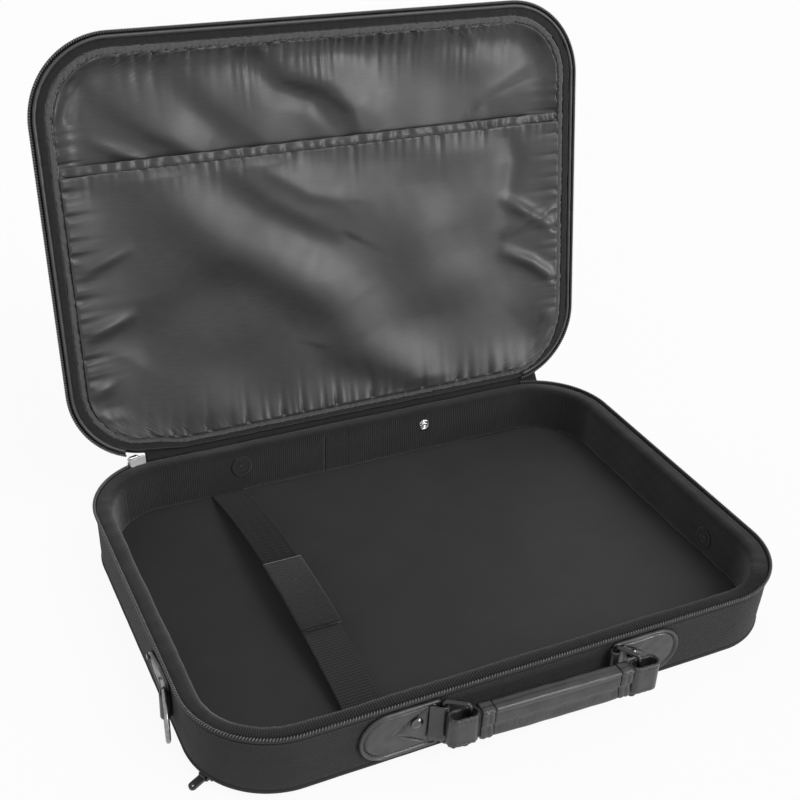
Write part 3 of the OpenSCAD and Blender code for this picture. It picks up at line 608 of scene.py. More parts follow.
COVER = twill("cover_twill", 5, 38)
BASE = twill("base_twill", 10, 40, 1.4)
LINING = ribbed_lining()
RIM_FLEECE = fleece("rim_fleece", 14, 44, 0.6)
BAND = fleece("band_fleece", 58, 92, 0.5)
PAD = fleece("hook_pad", 6, 26, 0.6)
SATIN = satin("satin", 38, 60)
# A lighter copy of the satin for the rim's thin line: painted highlight
SATIN_HIGHLIGHT = satin("satin_painted_highlight", 50, 72)
FLOOR = nylon("floor_nylon", 24, 40)
LEATHER = leather("leatherette", 34, 58)
LEATHER_EDGE = plastic("leather_edge", 24, 60, 0.7, size=1.6)
REAR_WEB = webbing("rear_webbing", 5, 26, True)
FRONT_WEB = webbing("front_webbing", 34, 66, False)
TAPE = twill("zip_tape", 26, 50, 0.9, 0.9)
# The coil nylon is black; this grey base stands in for the bright highlight dots on its turns: painted
# highlight
COIL = plastic("coil_nylon_painted_highlight", 84, 116, 0.3)
CORD = plastic("coil_cord", 10, 18, 0.7)
PIPING = twill("piping_cloth", 26, 44, 0.9)
THREAD = plastic("thread", 5, 14, 0.6)
NICKEL = metal("nickel", 190, 215, 0.22)
SLIDER_METAL = metal("slider_metal", 190, 214, 0.42, metallic=0.35)
DARK_METAL = metal("dark_metal", 84, 112, 0.24, on_cad=True)
NICKEL_CAD = metal("nickel_pull", 180, 205, 0.25, on_cad=True)
GREY_WIRE = metal("grey_wire", 120, 150, 0.3, on_cad=True)
ENAMEL = plastic("black_enamel", 14, 24, 0.25, on_cad=True, specular=0.6)
BLACK_ZIP = plastic("black_zip_metal", 20, 32, 0.35, on_cad=True)
BOARD = fibreboard("fibreboard")
FOAM = open_foam("open_foam")

# ---- Tray: cover, hem, wall padding ----
HEM_Z = RIM_Z - COVER_DROP
SEAM_TOP = BASE_Z + 2 * PIPING_R + 0.1
HEM_STITCH_IN = 2.1


def wall_cover(z_seam, z_hem, inset):
    """Section of a wall's woven cover, with a rolled hem at the zip. z_seam is its sewn edge."""
    way = 1 if z_hem > z_seam else -1
    neck = z_hem - way * 2.2
    corners = [
        [-inset(z_seam), z_seam], [-inset(neck) - 0.25, neck], [-inset(z_hem) + 0.1, neck + way * 0.9],
        [-inset(z_hem) + 0.1, z_hem], [-inset(z_hem) - COVER_T, z_hem], [-inset(z_seam) - COVER_T, z_seam]]
    return rounded(corners, [0.3, 0.5, 0.6, 0.6, 0.4, 0.3], 3.5)


def cover_lift(s, section, seed, low, high):
    """Soft dents of a cloth cover, none at its edges."""
    grid = over(s, section, 2.5)
    t = np.clip((section[:, 1] - low) / (high - low), 0, 1)
    return (0.4 * waves(grid, seed, 90) + 0.12 * waves(grid, seed + 1, 22)) * np.sin(math.pi * t)


def stitch_row(name, line, normals, pitch, length, radius, body, slot):
    """A row of stitches as a piece of its own."""
    thread = Piece()
    thread.stitches(line, normals, pitch, length, radius)
    return thread.make(name, THREAD, body, slot=slot)


def covered_wall(body, seam, hem, inset, seed, zip_start):
    """The woven cover of a half's wall from its seam to its hem, and the hem's stitches."""
    s = all_round(2.5)
    section = wall_cover(seam, hem, inset)
    swept(s, section, closed=True, lift=cover_lift(s, section, seed, *sorted((seam, hem)))).make(
        body + "_cover", COVER, body, [body + "_wall_cover"], slot="cover_fabric")
    s = lengths(zip_start, ROUND - ZIP_START, 1.2)
    way = 1 if seam > hem else -1
    line, normals = around(s, -inset(hem) - 0.12, hem + way * HEM_STITCH_IN)
    stitch_row(body + "_hem_stitches", line, np.column_stack([normals, 0 * s]), 3.2, 2.3, 0.32, body,
               "cover_fabric")


covered_wall("tray", SEAM_TOP, HEM_Z, tray_inset, 3, ZIP_START)

RIB_PITCH = 1.7
RIB_HEIGHT = 0.6
PAD_BOTTOM = FLOOR_TOP + 0.1


def rib_share(s):
    """1 along the front and rear walls, where the lining's ribs stand up, and 0 along the sides."""
    _, way = zip_line(s)
    return np.clip((np.abs(way[:, 1]) - 0.55) / 0.3, 0, 1)


def lining_seams(s):
    """Sewn joins of the wall lining: one on the rear wall and one at each corner."""
    joins = [20.0] + [RUNS[k] + 0.42 * QUARTER for k in (1, 3, 5, 7)]
    return sum(np.exp(-((s - join) / 0.9) ** 2) for join in joins)


STRAP_X = -101.0
STRAP_W = 26.0
s = lengths(0, ROUND, RIB_PITCH / 4)[:-1]
section = rounded(
    [[-tray_inset(PAD_BOTTOM) - PADDING_IN, PAD_BOTTOM], [-tray_inset(49.2) - PADDING_IN, 49.2],
     [-3.2, 49.3], [-3.1, 50.6], [-1.5, 52.0], [-2.6, 53.0], [-9.0, 53.3], [-12.6, 51.6],
     [-tray_inset(46) - INNER_IN, 46], [-tray_inset(PAD_BOTTOM) - INNER_IN, PAD_BOTTOM]],
    [0.4, 0.3, 0.3, 0.4, 0.4, 1.5, 5, 4, 6, 1.2], 2.2)
shown = np.clip((outward(section) @ np.array([-0.8, 0.6]) + 0.1) / 0.3, 0, 1)
points, _ = around(s, 0, 0)
grid = over(s, section, 1)
ribs = 0.5 + 0.5 * np.cos(2 * math.pi * s / RIB_PITCH)
share = 0.15 + 0.85 * rib_share(s)
lift = RIB_HEIGHT * (ribs * share)[:, None] * shown
inner = np.clip((49.5 - section[:, 1]) / 3, 0, 1)
lift += shown * (0.35 * waves(grid, 11, 60) + 0.12 * waves(grid, 12, 9)
                 - 0.9 * inner * lining_seams(s)[:, None])
lift -= 0.25 * shown
# The rear strap's end lies flat against the lining when it is lifted, so the lining is pressed in there
pressed = np.exp(-(((points[:, :1] - STRAP_X) / (STRAP_W / 2 + 6)) ** 6)) * (points[:, 1:2] > 0)
lift = lift * (1 - pressed) - 0.7 * pressed * shown
padding = swept(s, section, closed=True, lift=lift).make(
    "tray_padding", LINING, "tray", ["tray_wall_padding"], slot="wall_lining")

# ---- Zip: tapes and coils ----
CHAIN_R = 1.1
TAPE_T = 0.8
TAPE_RISE = 1.3
TAPE_DEPTH = 9


def tape_section(z, way, inset):
    """Section of a zip tape: along the back of the cover, then a step out to the zip line."""
    edge = z + way * COVER_DROP
    bend = edge - way * TAPE_RISE
    tail = edge + way * TAPE_DEPTH
    back, tail_back, half = -inset(edge) - 1.3, -inset(tail) - 1.3, TAPE_T / 2
    rim = z - way * 0.2
    corners = [[tail_back - TAPE_T, tail], [tail_back, tail], [back, edge], [half, bend], [half, rim],
               [-half, rim], [-half, bend - way * half], [back - TAPE_T, edge - way * half]]
    return rounded(corners, [0.2, 0.2, 0.5, 0.5, 0.3, 0.3, 0.5, 0.5], 2.0)


def coil(s, out, z, reach, wire, pitch):
    """A zip coil along a line of lengths s: its wire, wound round a cord."""
    turns = (s[-1] - s[0]) / pitch
    fine = np.linspace(s[0], s[-1], int(turns * 9))
    angle = 2 * math.pi * (fine - s[0]) / pitch
    line, _ = around(fine, out + reach * np.cos(angle), z + reach * np.sin(angle))
    wound, cord = Piece(), Piece()
    wound.tube(line, wire, 5)
    middle, _ = around(s, out, z)
    cord.tube(middle, reach - 0.1, 6)
    return wound, cord


COIL_REACH = 0.8
COIL_WIRE = 0.32
COIL_PITCH = 1.9
TAPE_STITCH_IN = 1.75
for body, z, way, inset, start in (
        ("tray", RIM_Z, -1, tray_inset, ZIP_START), ("lid", LID_RIM_Z, 1, lid_inset, LID_ZIP_START)):
    s = lengths(start, ROUND - ZIP_START, 2.5)
    swept(s, tape_section(z, way, inset)).make(
        body + "_tape", TAPE, body, [body + "_zip_tape"], slot="zip_tape")
    wound, cord = coil(s, 0, z, COIL_REACH, COIL_WIRE, COIL_PITCH)
    wound.make(body + "_coil", COIL, body, [body + "_zip_chain"], slot="zip_coil")
    cord.make(body + "_coil_cord", CORD, body, slot="zip_coil")
    sewn = lengths(start, ROUND - ZIP_START, 1.2)
    line, out = around(sewn, TAPE_T / 2 + 0.02, z + way * TAPE_STITCH_IN)
    stitch_row(body + "_coil_stitches", line, np.column_stack([out, 0 * sewn]), COIL_PITCH, 1.2, 0.2,
               body, "zip_coil")

# ---- Pipings, base and floor ----
s = all_round(2.5)
for name, node, inset, z, body in (("base_piping", "tray_base_piping", 3.5, BASE_Z + PIPING_R, "tray"),
                                   ("face_piping", "lid_face_piping", 6.0, FACE_Z - PIPING_R, "lid")):
    section = circle(-inset, z, PIPING_R - 0.05, 16)
    swept(s, section, closed=True, lift=0.07 * waves(over(s, section, 0), 21, 14)).make(
        name, PIPING, body, [node], slot="piping_vinyl")


def plate_grid(inset, step, y0=-1000.0, y1=1000.0):
    """Points x, y over the case's outline drawn in by an inset, closer together at the edges.
    Also gives each point's distance from the edge and how far along the edge it is."""
    half_w, half_d, r = CASE_W / 2 - inset, CASE_D / 2 - inset, CORNER_R - inset
    bend = r * np.sin(np.linspace(0, math.pi / 2, 16)) + half_d - r
    flat = np.linspace(-(half_d - r), half_d - r, int(2 * (half_d - r) / step) + 1)
    rows = np.concatenate([-bend[::-1], flat[1:-1], bend])
    y0, y1 = max(y0, -half_d), min(y1, half_d)
    near = np.array([0, 0.5, 1.2, 2.2, 3.5])
    kept = rows[(rows > y0 + 5) & (rows < y1 - 5)]
    rows = np.concatenate([y0 + near, kept, y1 - near[::-1]])
    over = np.clip(np.abs(rows) - (half_d - r), 0, r)
    reach = half_w - r + np.sqrt(np.maximum(r * r - over * over, 0))
    inner = np.linspace(-1, 1, int(2 * half_w / step) + 1)
    edge = 1 - near / half_w
    inner = inner[np.abs(inner) < edge[-1] - 0.6 * step / half_w]
    share = np.concatenate([-edge, inner, edge[::-1]])
    x = reach[:, None] * share
    y = np.repeat(rows[:, None], len(share), 1)
    qx, qy = np.abs(x) - (half_w - r), np.abs(y) - (half_d - r)
    away = np.hypot(np.maximum(qx, 0), np.maximum(qy, 0)) + np.minimum(np.maximum(qx, qy), 0)
    gap = np.maximum(np.minimum(r - away, np.minimum(y - y0, y1 - y)), 0)
    along = np.where(qx > qy, y, x) + np.where((qx > 0) & (qy > 0), 0.5 * np.sign(y) * x, 0)
    return x, y, gap, along


def rolled(gap, r):
    """Drop of a surface that rounds off over its last r at the edge."""
    t = np.clip(gap / r, 0, 1)
    return r * (1 - np.sqrt(np.maximum(1 - (1 - t) ** 2, 0)))


def flat_piece(name, look, node, body, slot, inset, z0, z1, roll, seed, crown=0.0, step=5.0, both=True):
    """A padded or cloth plate with rounded edges and soft unevenness; crown lifts its outer face."""
    x, y, gap, _ = plate_grid(inset, step)
    xy = np.stack([x, y], -1)
    soft = np.clip(gap / 12, 0, 1) * (0.25 * waves(xy, seed, 70) + 0.06 * waves(xy, seed + 1, 16))
    drop = rolled(gap, roll)
    middle = np.clip(gap / 140, 0, 1)
    top = z1 - drop + soft + crown * middle * (2 - middle)
    bottom = z0 + (drop if both else 0)
    piece = Piece()
    piece.plate(x, y, top, bottom + 0 * top)
    return piece.make(name, look, body, [node], slot=slot)


FOAM_IN_Z = 67.9
FOAM_OUT_Z = 75.2
flat_piece("base_cover", BASE, "tray_base_cover", "tray", "base_fabric", 5.4, BASE_Z, BASE_Z + 1.1, 0.5, 31)
floor = flat_piece("floor_pad", FLOOR, "tray_floor_pad", "tray", "floor_nylon", 6.7, FLOOR_Z,
                   FLOOR_TOP - 0.15, 1.5, 33, step=4.0)
flat_piece("face_cover", COVER, "lid_face_cover", "lid", "cover_fabric", 7.9, FACE_Z - COVER_T,
           FACE_Z - 0.3, 0.5, 35, crown=2.2, both=False)
foam = flat_piece("lid_padding", FOAM, "lid_foam", "lid", "foam", 7.0, FOAM_IN_Z, FOAM_OUT_Z, 1.5, 37,
                  step=8.0)

# ---- Pocket under the base: a flat fabric pocket with its own zip ----
POCKET_INSET = 10.0
POCKET_TOP = 7.8
POCKET_ZIP_INSET = 8.6
POCKET_ZIP_Z = 4.0
x, y, gap, along = plate_grid(POCKET_INSET, 5.0)
xy = np.stack([x, y], -1)
drop = rolled(gap, 2.6)
sag = 0.3 * waves(xy, 41, 55) * np.clip(gap / 10, 0, 1)
pocket = Piece()
pocket.plate(x, y, POCKET_TOP - drop - 0.2 + 0 * x, 0.05 + drop + np.abs(sag) * 0.5)
pocket.make("pocket_shell", BASE, "tray", ["base_pocket"], slot="base_fabric")
pocket_end = RUNS[3] + math.radians(12) * CORNER_R
s = lengths(pocket_end, ROUND - pocket_end, 2.5)
wound, cord = coil(s, -POCKET_ZIP_INSET, POCKET_ZIP_Z, 0.6, 0.3, 1.7)
wound.make("pocket_coil", COIL, "tray", ["base_pocket_zip"], slot="zip_coil")
cord.make("pocket_coil_cord", CORD, "tray", slot="zip_coil")

# ---- Lid walls, rim roll and band ----
lid_hem = LID_RIM_Z + COVER_DROP
lid_seam = FACE_Z - 2 * PIPING_R - 0.1
covered_wall("lid", lid_seam, lid_hem, lid_inset, 5, LID_ZIP_START)


def rim_piece(name, look, section, seed, fine, lumps, nodes, slot, span=None):
    """A piece that follows the lid's rim, all round or along a span, with lumps of two sizes."""
    run = all_round(1.4) if span is None else span
    grid = over(run, section, 3)
    lift = lumps[0] * waves(grid, seed, fine[0]) + lumps[1] * waves(grid, seed + 1, fine[1]) - 0.1
    swept(run, section, closed=span is None, lift=lift, pull=span is None).make(
        name, look, "lid", nodes, slot=slot)


# The rim's line, roll and band, by how far in from the zip line each reaches. The line is a real piece, but
# its lighter copy of the satin is a painted highlight
RIM_LINE_Z = 57.4
LINE_IN = 3.3
ROLL_OUT = 4.4
ROLL_IN = 10.6
BAND_OUT = 10.5
BAND_IN = 15.4
rim_piece("rim_line", SATIN_HIGHLIGHT, circle(-LINE_IN, RIM_LINE_Z, 1.35, 12), 49, (9, 4), (0.1, 0.06), [],
          "piping_vinyl",
          lengths(LID_ZIP_START + 1.5, ROUND - ZIP_START - 1.5, 2.5))
rim_piece("rim_roll", RIM_FLEECE,
          rounded([[-ROLL_OUT, 57.7], [-ROLL_OUT, 61.0], [-ROLL_IN, 61.0], [-ROLL_IN, 57.5]], 1.2, 0.8),
          51, (16, 4), (0.2, 0.16), ["lid_rim_piping"], "piping_vinyl")
rim_piece("rim_band", BAND,
          rounded([[-BAND_OUT, 57.0], [-BAND_OUT, 60.4], [-BAND_IN, 60.6], [-BAND_IN, 57.2]], 1.6, 0.8),
          53, (7, 2.4), (0.55, 0.25), ["lid_rim_band"], "band_fleece")
s = lengths(0, ROUND, 1.2)
line, _ = around(s, -BAND_IN + 1.0, RIM_LINE_Z)
line[:, 1] += hinge_pull(line[:, 0], line[:, 1], BAND_IN)
stitch_row("band_stitches", line, np.tile([0, 0, -1.0], (len(s), 1)), 3.4, 2.4, 0.35, "lid", "band_fleece")
s = all_round(3.0)
section = rounded([[-5.2, 60.9], [-5.2, 66.6], [-14.9, 66.6], [-14.9, 60.9]], 1.6, 2.0)
wall_roll = swept(s, section, closed=True).make(
    "lid_wall_roll", FOAM, "lid", ["lid_wall_padding"], slot="foam")


# ---- Satin lining and pocket of the lid ----
def crease(x, t, ends, width, height, slack=1.0):
    """A ridge (height over 0, towards the tray) or valley of cloth along a line of points, fading at
    its ends. Its left side is slack times as wide as its right one."""
    ends = np.array(ends, float)
    best = np.full(x.shape, 1e9)
    place = np.zeros(x.shape)
    side = np.ones(x.shape)
    count = len(ends) - 1
    for k in range(count):
        way = ends[k + 1] - ends[k]
        share = np.clip(((x - ends[k, 0]) * way[0] + (t - ends[k, 1]) * way[1]) / (way @ way), 0, 1)
        off_x, off_t = x - ends[k, 0] - share * way[0], t - ends[k, 1] - share * way[1]
        away = np.hypot(off_x, off_t)
        place = np.where(away < best, (k + share) / count, place)
        side = np.where(away < best, np.sign(way[0] * off_t - way[1] * off_x), side)
        best = np.minimum(best, away)
    fade = np.clip(np.sin(math.pi * (0.12 + 0.76 * place)), 0, 1)
    reach = width * np.where(side > 0, slack, 1.0)
    return height * np.exp(-((best / reach) ** 2)) * fade


def puckers(gap, along, seed, reach, height, pitch=12.0):
    """Gathers that run in from a seam: narrow notches across the edge that fade with distance from it."""
    line = along[..., None]
    notch = np.clip(waves(line, seed, pitch, 5), 0, 1) ** 2
    shape = 0.5 - 1.6 * notch + 0.4 * waves(line, seed + 1, 0.5 * pitch, 5)
    spread = 1 + 0.35 * waves(line, seed + 2, 3 * pitch, 4)
    fade = np.exp(-gap / (reach * np.maximum(spread, 0.3)))
    return height * shape * fade * np.clip(gap / 1.2, 0.25, 1)


def satin_sheet(name, node, y0, base, folds, seed, rise, seam, pull=False):
    """A sheet of satin sewn in along its edges, from y0 to the hinge. base is its outer face when flat;
    folds are creases; rise is how far its sewn edges stand up, and over what width."""
    x, y, gap, along = plate_grid(SEWN_INSET, 1.8, y0)
    t = CASE_D / 2 - y
    sewn = np.minimum(CASE_W / 2 - SEWN_INSET - np.abs(x), CASE_D / 2 - SEWN_INSET - y) if pull else gap
    height = rise[0] * np.exp(-((np.maximum(sewn, 0) / rise[1]) ** 1.6))
    for ends, width, *shape in folds:
        height = height + crease(x, t, ends, width, *shape) * np.clip(gap / 8, 0.1, 1)
    xy = np.stack([x, y], -1)
    calm = np.clip(gap / 15, 0, 1)
    height = height + puckers(sewn, along, seed, *seam)
    if pull:
        height = height + puckers(y - y0, x, seed + 9, 6.0, 0.9, 11.0)
    height = height + calm * (0.75 * waves(xy, seed + 5, 75) + 0.04 * waves(xy, seed + 6, 24))
    if pull:
        y = y + hinge_pull(x, y, gap + SEWN_INSET)
    piece = Piece()
    piece.plate(x, y, base - height + SATIN_T, base - height)
    return piece.make(name, SATIN, "lid", [node])


# Each fold: points of its line (x, distance from the hinge side), width, height, and slack
LINING_FOLDS = [
    ([(-46, 288), (-27, 267), (3, 256), (22, 238), (30, 216)], 6.5, 4.4, 3.5),
    ([(-56, 276), (-36, 256), (-8, 246), (8, 226)], 7, -1.6),
    ([(-112, 286), (-80, 252), (-38, 216)], 10, 3.0, 2.6),
    ([(-162, 264), (-130, 238), (-92, 216)], 7, 4.0, 3.2),
    ([(-170, 232), (-138, 218)], 4, 2.2),
    ([(199, 254), (166, 243), (134, 230)], 7, 2.8, 3.0),
    ([(60, 292), (110, 268), (150, 262)], 15, 1.6),
    ([(167, 296), (172, 282)], 2.6, 1.9),
    ([(177, 290), (190, 276)], 2.6, 1.9),
    ([(187, 280), (197, 262)], 2.6, 1.7),
    ([(112, 292), (124, 276)], 4, 1.5),
]
PANEL_FOLDS = [
    ([(-140, 212), (-122, 188), (-80, 148), (-34, 118), (0, 88), (14, 58)], 19, 5.6, 1.5),
    ([(-150, 66), (-124, 100), (-84, 122)], 28, -3.4),
    ([(-82, 213), (-46, 180), (4, 150)], 9, 2.8, 3.0),
    ([(-60, 210), (-20, 182), (10, 172)], 6, 1.2, 2.0),
    ([(150, 209), (157, 184), (148, 141)], 9, -1.6),
    ([(197, 123), (172, 139), (149, 154)], 5, 2.8),
    ([(198, 80), (172, 100), (149, 111)], 5, 2.8),
    ([(197, 146), (172, 135), (150, 127)], 4, 2.0),
    ([(198, 57), (180, 52)], 3, 1.6),
    ([(195, 38), (177, 27)], 2.6, 2.4),
    ([(-192, 145), (-156, 157)], 5, 1.8),
    ([(-197, 98), (-158, 108)], 5, 2.2),
    ([(-198, 56), (-178, 59)], 3, 1.5),
    ([(-193, 36), (-168, 34)], 3, 1.4),
    ([(-4, 56), (52, 33), (88, 10)], 10, 2.6, 2.0),
    ([(-184, 34), (-150, 74), (-152, 120)], 22, -2.4),
    ([(76, 176), (73, 120), (74, 70)], 26, 1.8),
]
LINING_FACE = 64.8
PANEL_FACE = 59.3
SATIN_T = 0.45
SEWN_INSET = 14.8
MOUTH_Y = CASE_D / 2 - 218.5
HEM_W = 7.0
HEM_T = 1.0
lining = satin_sheet("satin_lining", "lid_lining", -1000, LINING_FACE, LINING_FOLDS, 61, (5.2, 8.0),
                     (8.0, 4.2, 15.0))
panel = satin_sheet("satin_pocket", "lid_pocket_panel", MOUTH_Y + HEM_W - 0.6, PANEL_FACE, PANEL_FOLDS, 71,
                    (3.4, 24.0), (7.0, 1.8), pull=True)

# The pocket's mouth: a hem turned over and stitched, pleated a little by its thread
reach = CASE_W / 2 - SEWN_INSET - 0.2
s = np.linspace(-reach, reach, 300)
pleats = waves(s[:, None], 81, 15, 6)
hem = Piece()
line = np.stack([s, 0 * s + MOUTH_Y + HEM_W / 2 - 0.2, PANEL_FACE + 0.2 + 0.6 * pleats], -1)
flat = bar(HEM_W / 2, HEM_T / 2, 0.45, 0.9)
sections = np.repeat(flat[None], len(s), 0)
bulge = np.exp(-((flat[:, 0] + 0.8) / 2.2) ** 2) * np.sign(flat[:, 1])
pinch = waves(np.stack([s, 0 * s], -1), 83, 9, 6)
sections[..., 1] += bulge * (0.35 + 0.5 * pinch[:, None])
sections[..., 0] += 0.25 * waves(s[:, None], 84, 22, 5)[:, None]
hem.ribbon(line, (0, -1, 0), sections)
hem = hem.make("pocket_hem", SATIN, "lid", ["lid_pocket_hem"], slot="satin")
s = np.linspace(-reach, reach, 700)
wobble = 0.25 * waves(s[:, None], 85, 12, 5)
line = np.stack([s, 0 * s + MOUTH_Y + HEM_W - 0.5 + wobble, 0 * s + PANEL_FACE - 0.25], -1)
hem_stitches = stitch_row("hem_stitches", line, np.tile([0, 0, -1.0], (len(s), 1)), 3.0, 2.1, 0.3, "lid",
                          "satin")

# ---- Hinge cloth between the tray and the lid ----
STRIP_LEFT = 159.3
STRIP_RIGHT = -178.5
STRIP_T = 1.0
STRIP_LAP = 8.0
STRIP_OFF = 0.6
s = np.linspace(STRIP_RIGHT, STRIP_LEFT, 120)


def cloth_line(out, z, tipped=False):
    """A line of the hinge cloth, out from the zip line at height z of the tray or of the shut lid."""
    line, _ = around(s, out, z)
    if tipped:
        line[:, 1], line[:, 2] = opened(line[:, 1], line[:, 2])
    return line


lap_end = lid_hem + STRIP_LAP
on_tray = -tray_inset(HEM_Z) + STRIP_OFF
low, knee = cloth_line(on_tray, HEM_Z - STRIP_LAP), cloth_line(on_tray, 53.5)
lid_near = cloth_line(-lid_inset(lid_hem) + STRIP_OFF, lid_hem, tipped=True)
lid_far = cloth_line(-lid_inset(lap_end) + STRIP_OFF, lap_end, tipped=True)
stops = np.stack([low, (low + knee) / 2, knee, (knee + lid_near) / 2 + [0, 0.25, -0.15], lid_near,
                  (lid_near + lid_far) / 2, lid_far])
run = run_of(stops[:, len(s) // 2])
fine = np.linspace(0, run[-1], 26)
place = np.interp(fine, run, np.arange(len(stops)))
first = np.minimum(place.astype(int), len(stops) - 2)
share = (place - first)[:, None, None]
cloth = stops[first] * (1 - share) + stops[first + 1] * share
for _ in range(3):
    cloth[1:-1] = 0.25 * cloth[:-2] + 0.5 * cloth[1:-1] + 0.25 * cloth[2:]
out = unit(np.cross(np.gradient(cloth, axis=1), np.gradient(cloth, axis=0)))
wrinkle = 0.14 * waves(cloth * [1, 2, 2], 91, 18)[..., None]
sheets = [cloth + out * (h + wrinkle) for h in (0.0, STRIP_T)]
strip = Piece()
strip.skin(np.concatenate([sheets[0], sheets[1][::-1]]).transpose(1, 0, 2))
strip = strip.make("hinge_cloth", COVER, None, slot="cover_fabric")
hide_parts("hinge_strip")
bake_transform(strip)

# ---- Leather patches ----
PATCH_TOP = HEM_Z
HANDLE_X = -6.0
PIVOT_HALF = 61.0
PIVOT_Y = FRONT_Y - 3.5
RING_MID_Z = BASE_Z + 25.8
PATCH_H = 37.5
PATCH_L = 53.0
FOLD_H = 26.5
FOLD_MID_R = 2.56
FOLD_T = 1.9
EDGE_GAPS = [0, 0.25, 0.6, 1.0, 1.5, 2.0, 2.5, 2.9, 3.3, 3.7, 4.2, 5.0]
EDGE_HEIGHTS = [0.9, 1.9, 2.4, 2.6, 2.6, 2.4, 1.8, 1.2, 1.05, 1.4, 1.95, 2.1]


def resampled(points, step, closed=True):
    """Points evenly spaced along an outline."""
    points = np.array(points, float)
    if closed:
        points = np.vstack([points, points[:1]])
    run = run_of(points)
    fine = np.linspace(0, run[-1], max(4, int(round(run[-1] / step))) + 1)
    if closed:
        fine = fine[:-1]
    return np.stack([np.interp(fine, run, points[:, k]) for k in range(points.shape[1])], -1)


def drawn_in(outline, centre, gap):
    """An outline moved towards a centre until it is gap inside its edge."""
    along = np.roll(outline, -1, 0) - np.roll(outline, 1, 0)
    inward = unit(np.stack([-along[:, 1], along[:, 0]], -1))
    to_centre = np.asarray(centre) - outline
    depth = np.abs(np.sum(inward * to_centre, 1))
    return outline + to_centre * np.clip(gap / depth, 0, 1)[:, None]


def leather_patch(outline, centre, grooves, place, seed):
    """A sewn patch: a rolled edge, a stitched groove inside it and a soft middle.
    grooves are stitched lines across it, and place turns patch points into the case's."""
    outline = resampled(outline, 1.0)
    rings = [drawn_in(outline, centre, gap) for gap in EDGE_GAPS]
    inner = rings[-1]
    for share in np.linspace(0, 1, 22)[1:-1]:
        rings.append(inner + (np.asarray(centre) - inner) * share)
    rings = np.array(rings)
    heights = np.concatenate([EDGE_HEIGHTS, np.full(len(rings) - len(EDGE_HEIGHTS), 2.1)])
    h = np.repeat(heights[:, None], len(outline), 1)
    for ends in grooves:
        h = h - crease(rings[..., 0], rings[..., 1], ends, 1.0, 1.15) * (h > 1.95)
    calm = np.clip(np.arange(len(rings)) / len(EDGE_GAPS), 0, 1)[:, None]
    h = h + calm * (0.12 * waves(rings, seed, 13) + 0.16 * waves(rings, seed + 1, 30))
    piece = Piece()
    nr, ns = h.shape
    top = place(rings[..., 0], rings[..., 1], h)
    middle = place(*[np.array([v]) for v in (centre[0], centre[1], h[-1].mean())])
    back = place(outline[:, 0], outline[:, 1], 0 * outline[:, 0])
    points = np.concatenate([top.reshape(-1, 3), middle, back])
    i, j = np.meshgrid(np.arange(nr - 1), np.arange(ns), indexing="ij")
    i, j = i.ravel(), j.ravel()
    j2 = (j + 1) % ns
    faces = np.stack([i * ns + j, i * ns + j2, (i + 1) * ns + j2, (i + 1) * ns + j], -1).tolist()
    last, base = (nr - 1) * ns, nr * ns + 1
    faces += [[last + k, last + (k + 1) % ns, nr * ns] for k in range(ns)]
    faces += [[k, base + k, base + (k + 1) % ns, (k + 1) % ns] for k in range(ns)]
    faces.append([base + k for k in range(ns)])
    flat = np.concatenate([rings.reshape(-1, 2), [centre], outline])
    piece.add(points, faces, [flat[k].tolist() for face in faces for k in face])
    thread = Piece()
    lines = [drawn_in(outline, centre, 3.2)]
    lines[0] = np.vstack([lines[0], lines[0][:1]])
    lines += [resampled(ends, 1.0, closed=False) for ends in grooves]
    for k, line in enumerate(lines):
        on = place(line[:, 0], line[:, 1], np.full(len(line), 1.3))
        off = place(line[:, 0], line[:, 1], np.full(len(line), 2.45))
        thread.stitches(on, off - on, 2.7, 2.0, 0.36)
    return piece, thread


def arc(centre, r, start, end, bits):
    """Points of an arc, its angles in degrees."""
    a = np.radians(np.linspace(start, end, bits))
    return np.stack([centre[0] + r * np.cos(a), centre[1] + r * np.sin(a)], -1)


PATCH_R = PATCH_H / 2
handle_outline = np.vstack([
    arc((PATCH_L - PATCH_R, 0), PATCH_R, -90, 90, 40),
    arc((2.5, PATCH_R - 2.5), 2.5, 90, 180, 5), arc((2.5, -PATCH_R + 2.5), 2.5, 180, 270, 5)])
TRIANGLE_BASE = 7.0
TRIANGLE_TIP = 30.5
TRIANGLE_HALF = PATCH_R - 3.6
triangle = [
    [(TRIANGLE_BASE, -TRIANGLE_HALF), (TRIANGLE_BASE, TRIANGLE_HALF)],
    [(TRIANGLE_BASE, TRIANGLE_HALF), (TRIANGLE_TIP, 0)],
    [(TRIANGLE_TIP, 0), (TRIANGLE_BASE, -TRIANGLE_HALF)]]


LEAN_COS, LEAN_SIN = math.cos(WALL_LEAN), math.sin(WALL_LEAN)
TOUCH = 0.1


def on_wall(half, top, v, h):
    """A point v above a place on the leaning wall's outer face and h out of it: its distance from the
    case's middle and its height. half is the zip line's distance from the middle."""
    out = half - tray_inset(top) + TOUCH + h * LEAN_COS + v * LEAN_SIN
    return out, top - h * LEAN_SIN + v * LEAN_COS


def in_wall(half, middle, v, h):
    """The same on the wall's lining, with h towards the case's middle."""
    out = half - tray_inset(middle) - INNER_IN - TOUCH - h * LEAN_COS + v * LEAN_SIN
    return out, middle + v * LEAN_COS + h * LEAN_SIN


def front_wall(side):
    """Turns patch points into the front wall's: u away from the ring, v up, h outwards."""
    def place(u, v, h):
        out, z = on_wall(CASE_D / 2, PATCH_TOP, v - PATCH_R, h)
        return np.stack([HANDLE_X + side * (PIVOT_HALF + u), -out, z], -1)
    return place


def side_wall(side):
    """The same for a side wall, with u towards the hinge."""
    def place(u, v, h):
        out, z = on_wall(CASE_W / 2, SIDE_TOP, v - SIDE_RISE, h)
        return np.stack([side * out, SIDE_Y + u, z], -1)
    return place


